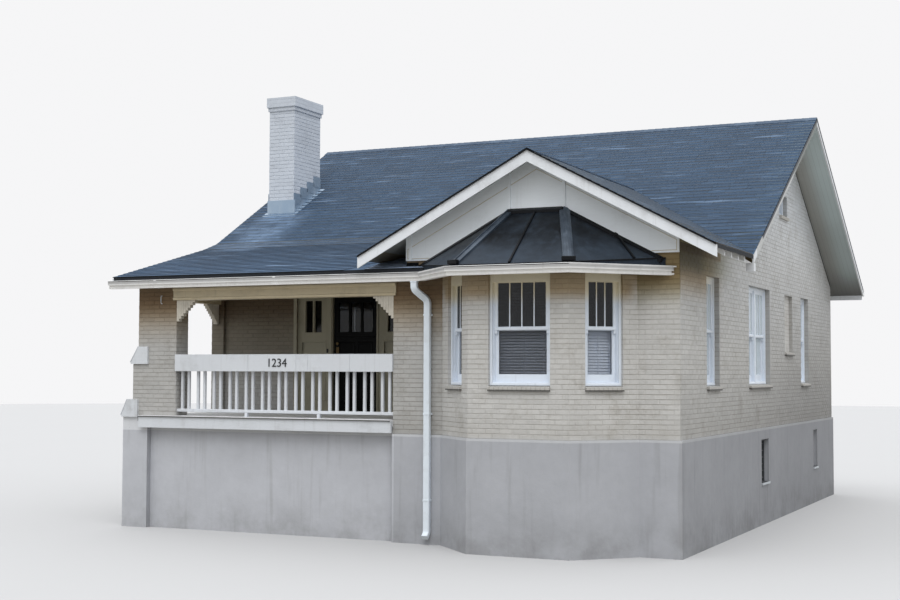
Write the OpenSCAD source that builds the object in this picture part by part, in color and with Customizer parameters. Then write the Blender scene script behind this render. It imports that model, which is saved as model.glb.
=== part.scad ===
// Brick bungalow with a front porch, a gabled wing and a canted bay window.
// The front faces -Y and +Z is up. The origin lies under the middle of the house at its lowest point.

/* [House] */
// Length from the front of the wing to the rear wall
house_depth = 11800; // [11000:10:12600]
// Width from the left wall to the right wall
house_width = 9350; // [9100:10:9800]
// Width of the front wing
wing_width = 4300; // [4200:10:4400]
// How far the main front wall lies behind the front of the wing
porch_depth = 2200; // [2000:10:2400]
// Thickness of the brick walls
wall_t = 250; // [200:5:300]
// Height of the wing's eave walls above the foundation
wing_wall_h = 2890; // [2880:5:2900]
// Depth of the foundation below its ledge
foundation_h = 1650; // [1200:10:2000]
// How far the foundation stands out from the brick
foundation_proud = 30; // [15:5:50]
// Thickness of the house floor
floor_t = 200; // [150:5:250]

/* [Roof] */
// Fall of the main roof for each unit of run
roof_slope = 0.56; // [0.55:0.005:0.57]
// Upright thickness of the main roof over the walls
roof_t = 175; // [175:5:200]
// Upright thickness of the main roof over its eaves
roof_eave_t = 130; // [115:5:150]
// Height of the porch roof over the front of the wing
porch_eave_z = 2575; // [2570:5:2590]
// Run of the steep slope in front of the main front wall
bend_run = 660; // [500:10:700]
// Fall of the porch roof for each unit of run
flare_slope = 0.255; // [0.25:0.005:0.26]
// Fall of the short slope between the steep roof and the porch roof
ease_slope = 0.34; // [0.3:0.01:0.4]
// Upright thickness of the porch roof
porch_roof_t = 150; // [120:5:160]
// Overhang of the roof past the right wall
right_over = 640; // [550:10:700]
// Overhang of the roof past the left wall
left_over = 410; // [350:10:450]
// Overhang of the roof past the rear wall
rear_over = 400; // [300:10:500]
// Overhang of the porch roof in front of the wing
eave_over = 200; // [150:10:220]
// Fall of the wing's roof for each unit of run
wing_slope = 0.53; // [0.52:0.005:0.54]
// Thickness of the wing's roof over its eaves
wing_eave_t = 60; // [40:5:60]
// Depth of the rafters under the wing's roof
rafter_h = 110; // [90:5:110]
// Overhang of the wing's roof in front of its gable
gable_over = 400; // [300:10:500]

/* [Bay] */
// Half width of the front of the bay
bay_half = 775; // [750:5:800]
// How far the bay stands out from the wing
bay_depth = 770; // [740:10:800]
// Height of the bay walls
bay_wall_h = 2430; // [2420:5:2435]
// Half width of the top edge of the bay roof
bay_ridge_half = 420; // [350:10:500]
// Height of the top edge of the bay roof
bay_ridge_z = 3373; // [3300:5:3400]

/* [Porch] */
// Height of the porch floor
porch_floor_z = 216; // [200:2:230]
// Width of the front pier
pier_w = 765; // [700:5:800]
// Thickness of the front pier
pier_t = 330; // [280:10:380]
// Height of the underside of the beam
beam_z = 2160; // [2100:5:2200]
// Height of the top of the planter box
planter_z = 1215; // [1180:5:1240]
// Height of the planter box
planter_h = 260; // [220:5:280]
// Depth of the planter box from front to back
planter_d = 240; // [200:5:260]
// Number of pairs of balusters
baluster_pairs = 13; // [11:1:13]

/* [Openings] */
// Height of the window sills on the side walls
sill_z = 755; // [700:5:800]
// Height of the window heads on the side walls
head_z = 2420; // [2380:5:2430]
// Height of the window sills of the bay
bay_sill_z = 760; // [720:5:820]
// Height of the window heads of the bay
bay_head_z = 2390; // [2340:5:2400]
// Width of the front door leaf
door_w = 860; // [800:5:900]
// Height of the front door leaf
door_h = 2030; // [1980:5:2050]
// Thickness of the front door leaf
door_t = 45; // [40:1:50]
// Opening angle of the front door in the drawing
door_angle = 0; // [0:5:90]

/* [Chimney] */
// Width of the chimney
chimney_w = 560; // [500:10:600]
// Depth of the chimney
chimney_d = 990; // [900:10:1050]
// Height of the top of the chimney
chimney_z = 6290; // [6200:10:6400]

/* [Hidden] */
$fn = 48;

// House axes: x = 0 at the right wall, y = 0 at the front of the wing, z = 0 at the foundation ledge
left_x = -house_width;
wing_x = -wing_width;
wing_cx = -wing_width / 2;
ridge_y = (porch_depth + house_depth) / 2;
bend_y = porch_depth + bend_run;
flare_y = porch_depth + wall_t;
flare_z = porch_eave_z + flare_slope * flare_y;
bend_z = flare_z + ease_slope * (bend_y - flare_y);
ridge_z = bend_z + roof_slope * (ridge_y - bend_y);
roof_left = left_x - left_over;
roof_right = right_over;
roof_back = house_depth + rear_over;
eave_y = -eave_over;
rake_t = 25;
seat_gap = 0.5;
gutter_w = 120;
gutter_h = 125;
gutter_wall = 4;
wing_roof_t = wing_eave_t + rafter_h;
wing_ridge_z = wing_wall_h + wing_roof_t + wing_slope * wing_width / 2;

// Heights of the roof surfaces
function front_z(y) = ridge_z - roof_slope * (ridge_y - y);
function back_z(y) = ridge_z - roof_slope * (y - ridge_y);
function porch_z(y) = flare_z - flare_slope * (flare_y - y);
function wing_z(x) = wing_ridge_z - wing_slope * abs(x - wing_cx);
// Place across the front slope at which it reaches a height
function front_y_at(z) = ridge_y - (ridge_z - z) / roof_slope;
// Tops of the walls, just under the roof
function under_front(y) = front_z(y) - roof_t - seat_gap;
function under_back(y) = back_z(y) - roof_t - seat_gap;
function under_porch(y) = porch_z(y) - porch_roof_t - seat_gap;
function lead_z(y) = front_z(y) + seat_gap;
function porch_y_at(z) = flare_y - (flare_z - z) / flare_slope;

// Valleys of the wing's roof in plan
valley_top_y = front_y_at(wing_ridge_z);
valley_right_y = front_y_at(wing_z(roof_right));
wing_eave_left = wing_x - roof_right;
valley_bend_x = wing_cx - (wing_ridge_z - bend_z) / wing_slope;
valley_flare_x = wing_cx - (wing_ridge_z - flare_z) / wing_slope;
valley_left_y = porch_y_at(wing_z(wing_eave_left));

// Bay in plan: walls, eave and the ends of its roof on the gable
bay_wall_half = bay_half + bay_depth;
bay_eave = 330;
bay_corner_eave = 120;
bay_eave_y = -bay_depth - bay_eave;
bay_eave_half = bay_half + bay_corner_eave;
bay_side_eave = 405;
bay_roof_half = bay_wall_half + bay_side_eave;
bay_eave_z = bay_wall_h + 40;
bay_foot_z = bay_eave_z + 100;
bay_room_front = bay_half - wall_t * tan(22.5);
bay_room_back = bay_room_front + bay_depth - wall_t;
// Where the porch eave meets the left edge of the bay roof
bay_run = bay_roof_half - bay_eave_half;
eave_turn_x = wing_cx - bay_roof_half + bay_run * eave_over / -bay_eave_y;
cant_len = bay_depth * sqrt(2);

function bay_plan(out) = [
    [wing_cx - bay_wall_half - out * sqrt(2), 0],
    [wing_cx - bay_half - out * tan(22.5), -bay_depth - out],
    [wing_cx + bay_half + out * tan(22.5), -bay_depth - out],
    [wing_cx + bay_wall_half + out * sqrt(2), 0]];
function bay_room(y_end) = [
    [wing_cx - bay_room_back, 0],
    [wing_cx - bay_room_front, wall_t - bay_depth],
    [wing_cx + bay_room_front, wall_t - bay_depth],
    [wing_cx + bay_room_back, 0],
    [wing_cx + bay_room_back, y_end],
    [wing_cx - bay_room_back, y_end]];

// Window openings: place along the wall, width
frame_w = 55;
frame_d = 90;
reveal = 90;
sash_w = 42;
sash_t = 35;
bottom_rail = 85;
glass_t = 6;
wide_win = 1200;
bay_front_win_w = 945;
bay_cant_win_w = 590;
bay_win_shift = 20;
bay_sill_d = 200;
right_win = [[1435, 775], [4170, 1610], [8550, 750]];
left_win = [[2900, 775], [6300, 1610], [9400, 775]];
rear_win = [[-8100, 910], [-4900, 1610], [-1900, 910]];
gable_win_w = 700;
gable_win_z = 3875;
gable_win_h = 375;
niche_y = 7040;
niche_w = 700;
niche_z = 1345;
niche_h = 1055;
niche_d = 60;
sill_h = 75;
sill_out = 45;

// Basement vents: place along the right foundation, width
vent_list = [[4920, 570], [9580, 410]];
vent_top = -190;
vent_h = 780;
footing = 100;

// Front door and its sidelights
jamb_w = 65;
side_panel_w = 640;
lite_w = 150;
lite_z = 1640;
lite_h = 560;
door_gap = 5;
door_x = -6880;
threshold_h = 30;
door_floor_z = porch_floor_z + threshold_h;
leaf_z = door_floor_z + door_gap;
door_head_z = leaf_z + door_h + door_gap;
entry_left = door_x - door_gap - jamb_w - side_panel_w;
entry_right = door_x + door_w + door_gap + jamb_w + side_panel_w;
entry_head = door_head_z + jamb_w;
door_y = porch_depth + 90;
door_back = door_y + door_t;
frame_front = porch_depth + 40;
knob_z = 1000;
knob_r = 27;
hinge_list = [200, 1000, 1780];
hinge_x = door_x + door_w + door_gap / 2;
hinge_y = door_back + 9;
hinge_r = 7;
pin_r = 4;
pin_gap = 0.05;
knuckle_h = 50;
end_knuckle_h = 20;
hinge_plate_w = 40;

// Porch pieces
pier_right = left_x + pier_w;
opening_right = wing_x - 230;
beam_proud = 25;
beam_lap = 50;
side_beam_t = 200;
moulding_h = 30;
beam_top = floor(under_porch(-beam_proud));
ceiling_t = 30;
slab_t = 100;
nosing = 30;
fascia_t = 50;
fascia_h = 175;
rail_h = 50;
rail_lift = 65;
rail_d = 70;
baluster_w = 45;
baluster_gap = 128;
base_left = left_x - 300;
base_right = left_x + 200;
cap_low_z = porch_floor_z - 32;
cap_high_z = 1070;
cap_h = 290;
cap_over = 40;
step_high = 105;
left_wall_lap = 60;
bracket_t = 90;
bracket_l = 360;
bracket_drop = 40;
bracket_steps = 8;
rafter_w = 45;
rafter_pitch = 400;
rafter_start = 150;
rake_h = roof_eave_t + 5;
rake_drop = 20;
rake_end = 120;
wing_rake_h = 170;
panel_t = 40;
panel_z = 2650;
batten_t = 20;
batten_w = 45;
batten_edge = 60;
batten_left = 455;
batten_right = 410;
batten_list = [wing_x + batten_edge, wing_cx - batten_left, wing_cx + batten_right];
gutter_z = 2325;
attic_z = 2450;
attic_t = 150;
stile_w = 90;
vent_frame = 40;
vent_slats = 6;
flashing_h = 260;

// Downspout and the straps that hold it; the outlet stands to the left of the pipe on the wall
gutter_low_w = gutter_w * 0.7;
spout_w = 100;
spout_d = 75;
spout_x = 340;
spout_shift = 145;
spout_end = 100;
bend_start = 90;
bend_drop = 290;
strap_t = 40;
strap_list = [300, 1800];

// Chimney
chimney_x = left_x - 20;
chimney_y = 4060;
corbel = 22;
corbel_top = 190;
corbel_h = 75;
flue_edge = 130;
flue_depth = 600;

// Whole extent, for the origin
part_front = bay_eave_y - gutter_w;
part_back = roof_back + gutter_w;

module house_axes() {
    translate([-(roof_left + roof_right) / 2, -(part_front + part_back) / 2, foundation_h])
        children();
}

// Box between two corners
module block(x0, x1, y0, y1, z0, z1) {
    translate([x0, y0, z0]) cube([x1 - x0, y1 - y0, z1 - z0]);
}

// Outline in the y-z plane pushed along x
module along_x(x0, x1) {
    translate([x0, 0, 0]) rotate([90, 0, 90]) linear_extrude(x1 - x0) children();
}

// Outline in the x-z plane pushed along y
module along_y(y0, y1) {
    translate([0, y1, 0]) rotate([90, 0, 0]) linear_extrude(y1 - y0) children();
}

// Upright prism over a plan
module prism(points, z0, z1) {
    translate([0, 0, z0]) linear_extrude(z1 - z0) polygon(points);
}

// Wall frames: x runs along the wall, y points out of it and z up
module on_right() {
    rotate([0, 0, 90]) mirror([0, 1, 0]) children();
}

module on_left() {
    translate([left_x, 0, 0]) rotate([0, 0, 90]) children();
}

module on_rear() {
    translate([0, house_depth, 0]) children();
}

// Bay walls: 0 the left cant, 1 the front, 2 the right cant
module on_bay(side) {
    plan = bay_plan(0);
    translate([plan[side][0], plan[side][1], 0]) rotate([0, 0, 45 * (side - 1)])
        mirror([0, 1, 0]) children();
}

// Hole for a window and its sill
module opening(x, w, z0, z1) {
    block(x, x + w, -wall_t - 1, 1, z0 - sill_h, z1);
}

// Sloped sill that fills the bottom of an opening
module sill(x, w, z, depth) {
    translate([x, 0, z]) rotate([90, 0, 90]) linear_extrude(w) polygon([[-depth, 0],
        [-min(reveal, depth), 0], [sill_out, -20], [sill_out, -sill_h], [-depth, -sill_h]]);
}

// Ring of four members; the bottom one has its own width
module ring_frame(x0, x1, y0, y1, z0, z1, w, low) {
    difference() {
        block(x0, x1, y0, y1, z0, z1);
        block(x0 + w, x1 - w, y0 - 1, y1 + 1, z0 + low, z1 - w);
    }
}

// Double-hung window: a frame and two sashes that meet at mid height
module window_unit(x, w, z0, z1) {
    back = -reveal - frame_d;
    mid = (z0 + z1) / 2;
    x0 = x + frame_w;
    x1 = x + w - frame_w;
    parting = -reveal - frame_d / 2;
    ring_frame(x, x + w, back, -reveal, z0, z1, frame_w, frame_w);
    ring_frame(x0, x1, parting, parting + sash_t, mid - sash_w / 2, z1 - frame_w, sash_w, sash_w);
    ring_frame(x0, x1, parting - sash_t, parting, z0 + frame_w, mid + sash_w / 2, sash_w, bottom_rail);
}

module pane_unit(x, w, z0, z1) {
    mid = (z0 + z1) / 2;
    x0 = x + frame_w + sash_w;
    x1 = x + w - frame_w - sash_w;
    parting = -reveal - frame_d / 2;
    upper = parting + (sash_t - glass_t) / 2;
    lower = parting - (sash_t + glass_t) / 2;
    block(x0, x1, upper, upper + glass_t, mid + sash_w / 2, z1 - frame_w - sash_w);
    block(x0, x1, lower, lower + glass_t, z0 + frame_w + bottom_rail, mid - sash_w / 2);
}

// A wide opening holds two windows side by side
module windows(list, z0, z1) {
    for (v = list) {
        count = v[1] > wide_win ? 2 : 1;
        for (i = [0:count - 1]) window_unit(v[0] + i * v[1] / count, v[1] / count, z0, z1);
    }
}

module panes(list, z0, z1) {
    for (v = list) {
        count = v[1] > wide_win ? 2 : 1;
        for (i = [0:count - 1]) pane_unit(v[0] + i * v[1] / count, v[1] / count, z0, z1);
    }
}

// Fixed window with one pane
module small_window(x, w, z0, z1) {
    ring_frame(x, x + w, -reveal - frame_d, -reveal, z0, z1, frame_w, frame_w);
}

module small_pane(x, w, z0, z1) {
    mid = -reveal - frame_d / 2;
    block(x + frame_w, x + w - frame_w, mid - glass_t / 2, mid + glass_t / 2, z0 + frame_w, z1 - frame_w);
}

gable_win = [ridge_y - gable_win_w / 2, gable_win_w];
bay_win = [
    [(cant_len - bay_cant_win_w) / 2, bay_cant_win_w],
    [bay_half - bay_front_win_w / 2 + bay_win_shift, bay_front_win_w],
    [(cant_len - bay_cant_win_w) / 2, bay_cant_win_w]];

module chimney_hole() {
    block(chimney_x, chimney_x + chimney_w, chimney_y, chimney_y + chimney_d, -1, chimney_z);
}

module foundation_front() {
    out = foundation_proud;
    in = wall_t + footing;
    color("lightsteelblue") house_axes() difference() {
        union() {
            block(opening_right, out, -out, in, -foundation_h, 0);
            prism(bay_plan(out), -foundation_h, 0);
            block(wing_x, wing_x + in, in, porch_depth, -foundation_h, 0);
        }
        prism(bay_room(in + 1), -foundation_h - 1, 1);
    }
}

module foundation_right() {
    out = foundation_proud;
    in = wall_t + footing;
    color("lightsteelblue") house_axes() difference() {
        block(-in, out, in, house_depth + out, -foundation_h, 0);
        on_right() for (v = vent_list)
            block(v[0], v[0] + v[1], -in - 1, out + 1, vent_top - vent_h, vent_top);
    }
}

module foundation_back() {
    out = foundation_proud;
    in = wall_t + footing;
    color("lightsteelblue") house_axes() {
        block(left_x - out, -in, house_depth - in, house_depth + out, -foundation_h, 0);
        block(left_x - out, left_x + in, porch_depth - left_wall_lap, house_depth - in, -foundation_h, 0);
        block(left_x + in, wing_x + in, porch_depth, porch_depth + in, -foundation_h, 0);
        block(chimney_x, chimney_x + chimney_w, chimney_y, chimney_y + chimney_d, -foundation_h, 0);
    }
}

module porch_base() {
    low = porch_floor_z - slab_t;
    color("lightsteelblue") house_axes() {
        block(base_left, base_right, 0, pier_t + cap_over, -foundation_h, low);
        block(base_left, left_x, 0, pier_t + cap_over, low, cap_low_z);
        block(base_right, opening_right, footing, footing + wall_t, -foundation_h, low);
        block(left_x, left_x + wall_t, pier_t + cap_over, porch_depth - left_wall_lap, -foundation_h, low);
    }
}

module floor_plan() {
    translate([left_x + wall_t, porch_depth + wall_t])
        square([house_width - 2 * wall_t, house_depth - porch_depth - 2 * wall_t]);
    translate([wing_x + wall_t, wall_t]) square([wing_width - 2 * wall_t, porch_depth]);
}

module house_floor() {
    color("tan") house_axes() difference() {
        union() {
            linear_extrude(floor_t) floor_plan();
            prism(bay_room(wall_t), 0, floor_t);
        }
        chimney_hole();
    }
}

module attic_floor() {
    color("tan") house_axes() difference() {
        translate([0, 0, attic_z]) linear_extrude(attic_t) floor_plan();
        chimney_hole();
    }
}

module right_wall() {
    meet_y = front_y_at(wing_z(0));
    color("silver") house_axes() difference() {
        along_x(-wall_t, 0) polygon([[0, 0], [house_depth, 0],
            [house_depth, under_back(house_depth)], [ridge_y, under_back(ridge_y)],
            [meet_y, under_front(meet_y)], [meet_y, wing_wall_h], [0, wing_wall_h]]);
        on_right() {
            for (v = right_win) opening(v[0], v[1], sill_z, head_z);
            opening(gable_win[0], gable_win[1], gable_win_z, gable_win_z + gable_win_h);
            block(niche_y, niche_y + niche_w, -niche_d, 1, niche_z - sill_h, niche_z + niche_h);
        }
    }
}

module rear_wall() {
    top = under_back(house_depth);
    color("silver") house_axes() difference() {
        along_x(left_x + wall_t, -wall_t) polygon([[house_depth - wall_t, 0], [house_depth, 0],
            [house_depth, top], [house_depth - wall_t, top + wall_t * roof_slope]]);
        on_rear() for (v = rear_win) opening(v[0], v[1], sill_z, head_z);
    }
}

module left_wall() {
    start = porch_depth - left_wall_lap;
    color("silver") house_axes() difference() {
        along_x(left_x, left_x + wall_t) polygon([[start, 0], [house_depth, 0],
            [house_depth, under_back(house_depth)], [ridge_y, under_back(ridge_y)],
            [bend_y, min(under_front(bend_y), under_porch(bend_y))], [flare_y, under_porch(flare_y)],
            [start, under_porch(start)]]);
        on_left() {
            for (v = left_win) opening(v[0], v[1], sill_z, head_z);
            opening(gable_win[0], gable_win[1], gable_win_z, gable_win_z + gable_win_h);
        }
        chimney_hole();
    }
}

module wing_front_wall() {
    top = wing_wall_h;
    color("silver") house_axes() difference() {
        union() {
            along_y(0, wall_t) polygon([[wing_x, 0], [-wall_t, 0], [-wall_t, top + wall_t * wing_slope],
                [wing_cx, wing_ridge_z - wing_roof_t], [wing_x, top]]);
            block(opening_right, wing_x, 0, wall_t, 0, beam_top);
        }
        prism(bay_room(wall_t + 1), -1, bay_head_z);
    }
}

module wing_side_wall() {
    color("silver") house_axes()
        block(wing_x, wing_x + wall_t, wall_t, porch_depth + wall_t, 0, wing_wall_h);
}

module bay_wall() {
    color("silver") house_axes() difference() {
        prism(bay_plan(0), 0, bay_wall_h);
        prism(bay_room(1), -1, bay_wall_h + 1);
        for (side = [0:2]) on_bay(side)
            opening(bay_win[side][0], bay_win[side][1], bay_sill_z, bay_head_z);
    }
}

// Main front wall behind the porch, in three pieces round the entry
module porch_wall(x0, x1, z0) {
    y1 = porch_depth + wall_t;
    along_x(x0, x1) polygon([[porch_depth, z0], [y1, z0], [y1, under_porch(y1)],
        [porch_depth, under_porch(porch_depth)]]);
}

module porch_wall_left() {
    color("silver") house_axes() porch_wall(left_x + wall_t, entry_left, 0);
}

module porch_wall_right() {
    color("silver") house_axes() porch_wall(entry_right, wing_x, 0);
}

module porch_wall_head() {
    color("silver") house_axes() porch_wall(entry_left, entry_right, entry_head);
}

// Main slopes between two x places, with an upright thickness
module front_slab(x0, x1, thick) {
    y0 = valley_right_y;
    along_x(x0, x1) polygon([[y0, front_z(y0) - thick], [ridge_y, ridge_z - thick],
        [ridge_y, ridge_z], [y0, front_z(y0)]]);
}

module rear_slab(x0, x1, y1, thick) {
    along_x(x0, x1) polygon([[ridge_y, ridge_z - thick], [y1, back_z(y1) - thick],
        [y1, back_z(y1)], [ridge_y, ridge_z]]);
}

module roof_front() {
    color("slategray") house_axes() difference() {
        intersection() {
            union() {
                front_slab(roof_left + rake_t, roof_right - rake_t, roof_eave_t);
                front_slab(left_x, 0, roof_t);
            }
            prism([[roof_left, bend_y], [valley_bend_x, bend_y], [wing_cx, valley_top_y],
                [roof_right, valley_right_y], [roof_right, ridge_y], [roof_left, ridge_y]], 0, chimney_z);
        }
        chimney_hole();
    }
}

module roof_rear() {
    color("slategray") house_axes() {
        rear_slab(roof_left + rake_t, roof_right - rake_t, roof_back, roof_eave_t);
        rear_slab(left_x, 0, house_depth, roof_t);
    }
}

module porch_roof() {
    color("slategray") house_axes() intersection() {
        along_x(roof_left + rake_t, wing_cx) polygon([
            [eave_y, porch_z(eave_y) - porch_roof_t], [flare_y, flare_z - porch_roof_t],
            [bend_y, bend_z - porch_roof_t], [bend_y, bend_z], [flare_y, flare_z],
            [eave_y, porch_z(eave_y)]]);
        prism([[roof_left, eave_y], [wing_eave_left, eave_y], [wing_eave_left, valley_left_y],
            [valley_flare_x, flare_y], [valley_bend_x, bend_y], [roof_left, bend_y]], 0, ridge_z);
    }
}

// Two equal slopes over the wing between two x places, with an upright thickness
module wing_slopes(x0, x1, y0, y1, drop, thick) {
    top = wing_ridge_z - drop;
    along_y(y0, y1) polygon([[x0, wing_z(x0) - drop - thick], [wing_cx, top - thick],
        [x1, wing_z(x1) - drop - thick], [x1, wing_z(x1) - drop], [wing_cx, top],
        [x0, wing_z(x0) - drop]]);
}

module wing_roof() {
    color("slategray") house_axes() intersection() {
        union() {
            wing_slopes(wing_eave_left, roof_right, -gable_over, valley_top_y, 0, wing_eave_t);
            wing_slopes(wing_x, 0, 0, valley_top_y, 0, wing_roof_t);
        }
        prism([[wing_eave_left, -gable_over], [roof_right, -gable_over], [roof_right, valley_right_y],
            [wing_cx, valley_top_y], [valley_bend_x, bend_y], [valley_flare_x, flare_y],
            [wing_eave_left, valley_left_y]], 0, ridge_z);
    }
}

// End of the porch roof: it runs on under the wing's left eave and in front of its wall to the bay roof
function under_eave_y(x) = porch_y_at(wing_z(x) - wing_eave_t - seat_gap);
module low_roof() {
    back = under_eave_y(wing_x);
    color("slategray") house_axes() intersection() {
        along_x(wing_eave_left, eave_turn_x) polygon([[eave_y, porch_z(eave_y) - porch_roof_t],
            [back, porch_z(back) - porch_roof_t], [back, porch_z(back)], [eave_y, porch_z(eave_y)]]);
        prism([[wing_eave_left, eave_y], [eave_turn_x - seat_gap, eave_y],
            [wing_cx - bay_roof_half - seat_gap, 0], [wing_x, 0], [wing_x, back],
            [wing_eave_left, under_eave_y(wing_eave_left)]], 0, ridge_z);
    }
}

// Hipped roof of the bay, closed below by its soffit
module bay_roof_form() {
    left = wing_cx - bay_roof_half;
    right = wing_cx + bay_roof_half;
    front_left = wing_cx - bay_eave_half;
    front_right = wing_cx + bay_eave_half;
    polyhedron(points = [
        [left, 0, bay_wall_h], [front_left, bay_eave_y, bay_wall_h],
        [front_right, bay_eave_y, bay_wall_h], [right, 0, bay_wall_h],
        [left, 0, bay_foot_z], [front_left, bay_eave_y, bay_eave_z],
        [front_right, bay_eave_y, bay_eave_z], [right, 0, bay_foot_z],
        [wing_cx - bay_ridge_half, 0, bay_ridge_z], [wing_cx + bay_ridge_half, 0, bay_ridge_z]],
        faces = [[0, 3, 2, 1], [0, 4, 8, 9, 7, 3], [1, 2, 6, 5], [0, 1, 5, 4], [2, 3, 7, 6],
            [5, 6, 9, 8], [4, 5, 8], [6, 7, 9]]);
}

module bay_roof() {
    color("darkslategray") house_axes() bay_roof_form();
}

// Rafter tails in the open right eave of the wing
module rafter_tails() {
    tail = rafter_h * 0.8;
    x1 = roof_right - 40;
    color("whitesmoke") house_axes()
        for (y = [rafter_start : rafter_pitch : valley_right_y - rafter_start])
            along_y(y, y + rafter_w) polygon([[0, wing_wall_h], [x1, wing_z(x1) - wing_eave_t - tail],
                [x1, wing_z(x1) - wing_eave_t], [0, wing_z(0) - wing_eave_t]]);
}

// Boards along the gable edges of the main roof
module rake_board(x, y0) {
    along_x(x, x + rake_t) polygon([[y0, front_z(y0) - rake_h], [ridge_y, ridge_z - rake_h],
        [roof_back, back_z(roof_back) - rake_h], [roof_back, back_z(roof_back) - rake_drop],
        [ridge_y, ridge_z - rake_drop], [y0, front_z(y0) - rake_drop]]);
}

// A boxed end closes the foot of the right one
module main_rake_boards() {
    foot_y = valley_right_y + rake_t;
    foot_z = front_z(foot_y) - roof_eave_t - seat_gap;
    color("whitesmoke") house_axes() {
        rake_board(roof_right - rake_t, foot_y);
        block(roof_right - rake_end, roof_right, foot_y, foot_y + rake_end, foot_z - rake_end, foot_z);
        rake_board(roof_left, bend_y);
        along_x(roof_left, roof_left + rake_t) polygon([
            [eave_y, porch_z(eave_y) - porch_roof_t], [flare_y, flare_z - porch_roof_t],
            [bend_y, bend_z - porch_roof_t], [bend_y, bend_z - rake_drop],
            [flare_y, flare_z - rake_drop], [eave_y, porch_z(eave_y) - rake_drop]]);
    }
}

module wing_rake_boards() {
    color("whitesmoke") house_axes()
        wing_slopes(wing_eave_left, roof_right, -gable_over - rake_t, -gable_over, rake_drop, wing_rake_h);
}

// Outline of the gable above the bay roof
module gable_outline() {
    eave = wing_z(0) - wing_eave_t;
    difference() {
        polygon([[wing_x, panel_z], [0, panel_z], [0, eave], [wing_cx, wing_ridge_z - wing_eave_t],
            [wing_x, eave]]);
        polygon([[wing_cx - bay_roof_half, 0], [wing_cx - bay_roof_half, bay_foot_z],
            [wing_cx - bay_ridge_half, bay_ridge_z], [wing_cx + bay_ridge_half, bay_ridge_z],
            [wing_cx + bay_roof_half, bay_foot_z], [wing_cx + bay_roof_half, 0]]);
    }
}

// Panelled gable of the wing with its battens
module gable_panel() {
    color("lavender") house_axes() {
        along_y(-panel_t, 0) gable_outline();
        along_y(-panel_t - batten_t, -panel_t) intersection() {
            gable_outline();
            for (x = batten_list) translate([x, 0]) square([batten_w, ridge_z]);
        }
    }
}

// Edge of all the front eaves in plan
module eave_plan() {
    polygon([[roof_left, eave_y], [eave_turn_x, eave_y], [wing_cx - bay_eave_half, bay_eave_y],
        [wing_cx + bay_eave_half, bay_eave_y], [wing_cx + bay_roof_half, 0],
        [wing_cx + bay_roof_half, wall_t], [roof_left, wall_t]]);
}

// Strip along the front eaves between two distances from their edge
module eave_strip(d0, d1, z0, z1) {
    translate([0, 0, z0]) linear_extrude(z1 - z0) intersection() {
        difference() {
            offset(delta = d1) eave_plan();
            offset(delta = d0) eave_plan();
        }
        translate([roof_left, part_front]) square([-roof_left, -part_front]);
    }
}

module front_gutter() {
    low_w = gutter_low_w;
    step_z = gutter_z + gutter_h / 2;
    top_z = gutter_z + gutter_h;
    color("ivory") house_axes() {
        eave_strip(seat_gap, low_w, gutter_z, gutter_z + gutter_wall);
        eave_strip(seat_gap, gutter_wall, gutter_z, top_z);
        eave_strip(low_w - gutter_wall, low_w, gutter_z, step_z);
        eave_strip(low_w - gutter_wall, gutter_w, step_z - gutter_wall, step_z);
        eave_strip(gutter_w - gutter_wall, gutter_w, step_z - gutter_wall, top_z);
        block(roof_left, roof_left + gutter_wall, eave_y - low_w, eave_y, gutter_z, step_z);
        block(roof_left, roof_left + gutter_wall, eave_y - gutter_w, eave_y, step_z - gutter_wall, top_z);
    }
}

module rear_gutter() {
    z0 = back_z(roof_back) - roof_eave_t + gutter_wall;
    w = gutter_w;
    t = gutter_wall;
    color("ivory") house_axes() along_x(roof_left, roof_right) translate([roof_back, z0])
        polygon([[0, 0], [w, 0], [w, gutter_h], [w - t, gutter_h], [w - t, t], [t, t],
            [t, gutter_h], [0, gutter_h]]);
}

// Downspout: out of the gutter, back and sideways to its place on the wall, and down it
module downspout() {
    w = spout_w;
    d = spout_d;
    x0 = wing_x + spout_x;
    top_x = x0 - spout_shift;
    wall_y = -d - strap_t;
    drop_y = eave_y - (gutter_low_w + d) / 2;
    bend_low = gutter_z - bend_drop;
    bend_high = gutter_z - bend_start;
    color("ivory") house_axes() {
        block(top_x, top_x + w, drop_y, drop_y + d, bend_high, gutter_z);
        polyhedron(points = [
            [x0, wall_y, bend_low], [x0 + w, wall_y, bend_low],
            [x0 + w, wall_y + d, bend_low], [x0, wall_y + d, bend_low],
            [top_x, drop_y, bend_high], [top_x + w, drop_y, bend_high],
            [top_x + w, drop_y + d, bend_high], [top_x, drop_y + d, bend_high]],
            faces = [[0, 1, 2, 3], [4, 7, 6, 5], [0, 4, 5, 1], [1, 5, 6, 2], [2, 6, 7, 3], [3, 7, 4, 0]]);
        block(x0, x0 + w, wall_y, wall_y + d, spout_end - foundation_h, bend_low);
        for (z = strap_list) block(x0, x0 + w, wall_y + d, 0, z, z + strap_t);
    }
}

module bay_windows() {
    color("lavender") house_axes() for (side = [0:2]) on_bay(side)
        windows([bay_win[side]], bay_sill_z, bay_head_z);
}

module bay_glass() {
    color("lightblue") house_axes() for (side = [0:2]) on_bay(side)
        panes([bay_win[side]], bay_sill_z, bay_head_z);
}

module right_windows() {
    color("lavender") house_axes() on_right() {
        windows(right_win, sill_z, head_z);
        small_window(gable_win[0], gable_win[1], gable_win_z, gable_win_z + gable_win_h);
    }
}

module right_glass() {
    color("lightblue") house_axes() on_right() {
        panes(right_win, sill_z, head_z);
        small_pane(gable_win[0], gable_win[1], gable_win_z, gable_win_z + gable_win_h);
    }
}

module back_windows() {
    color("lavender") house_axes() {
        on_rear() windows(rear_win, sill_z, head_z);
        on_left() {
            windows(left_win, sill_z, head_z);
            small_window(gable_win[0], gable_win[1], gable_win_z, gable_win_z + gable_win_h);
        }
    }
}

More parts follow.
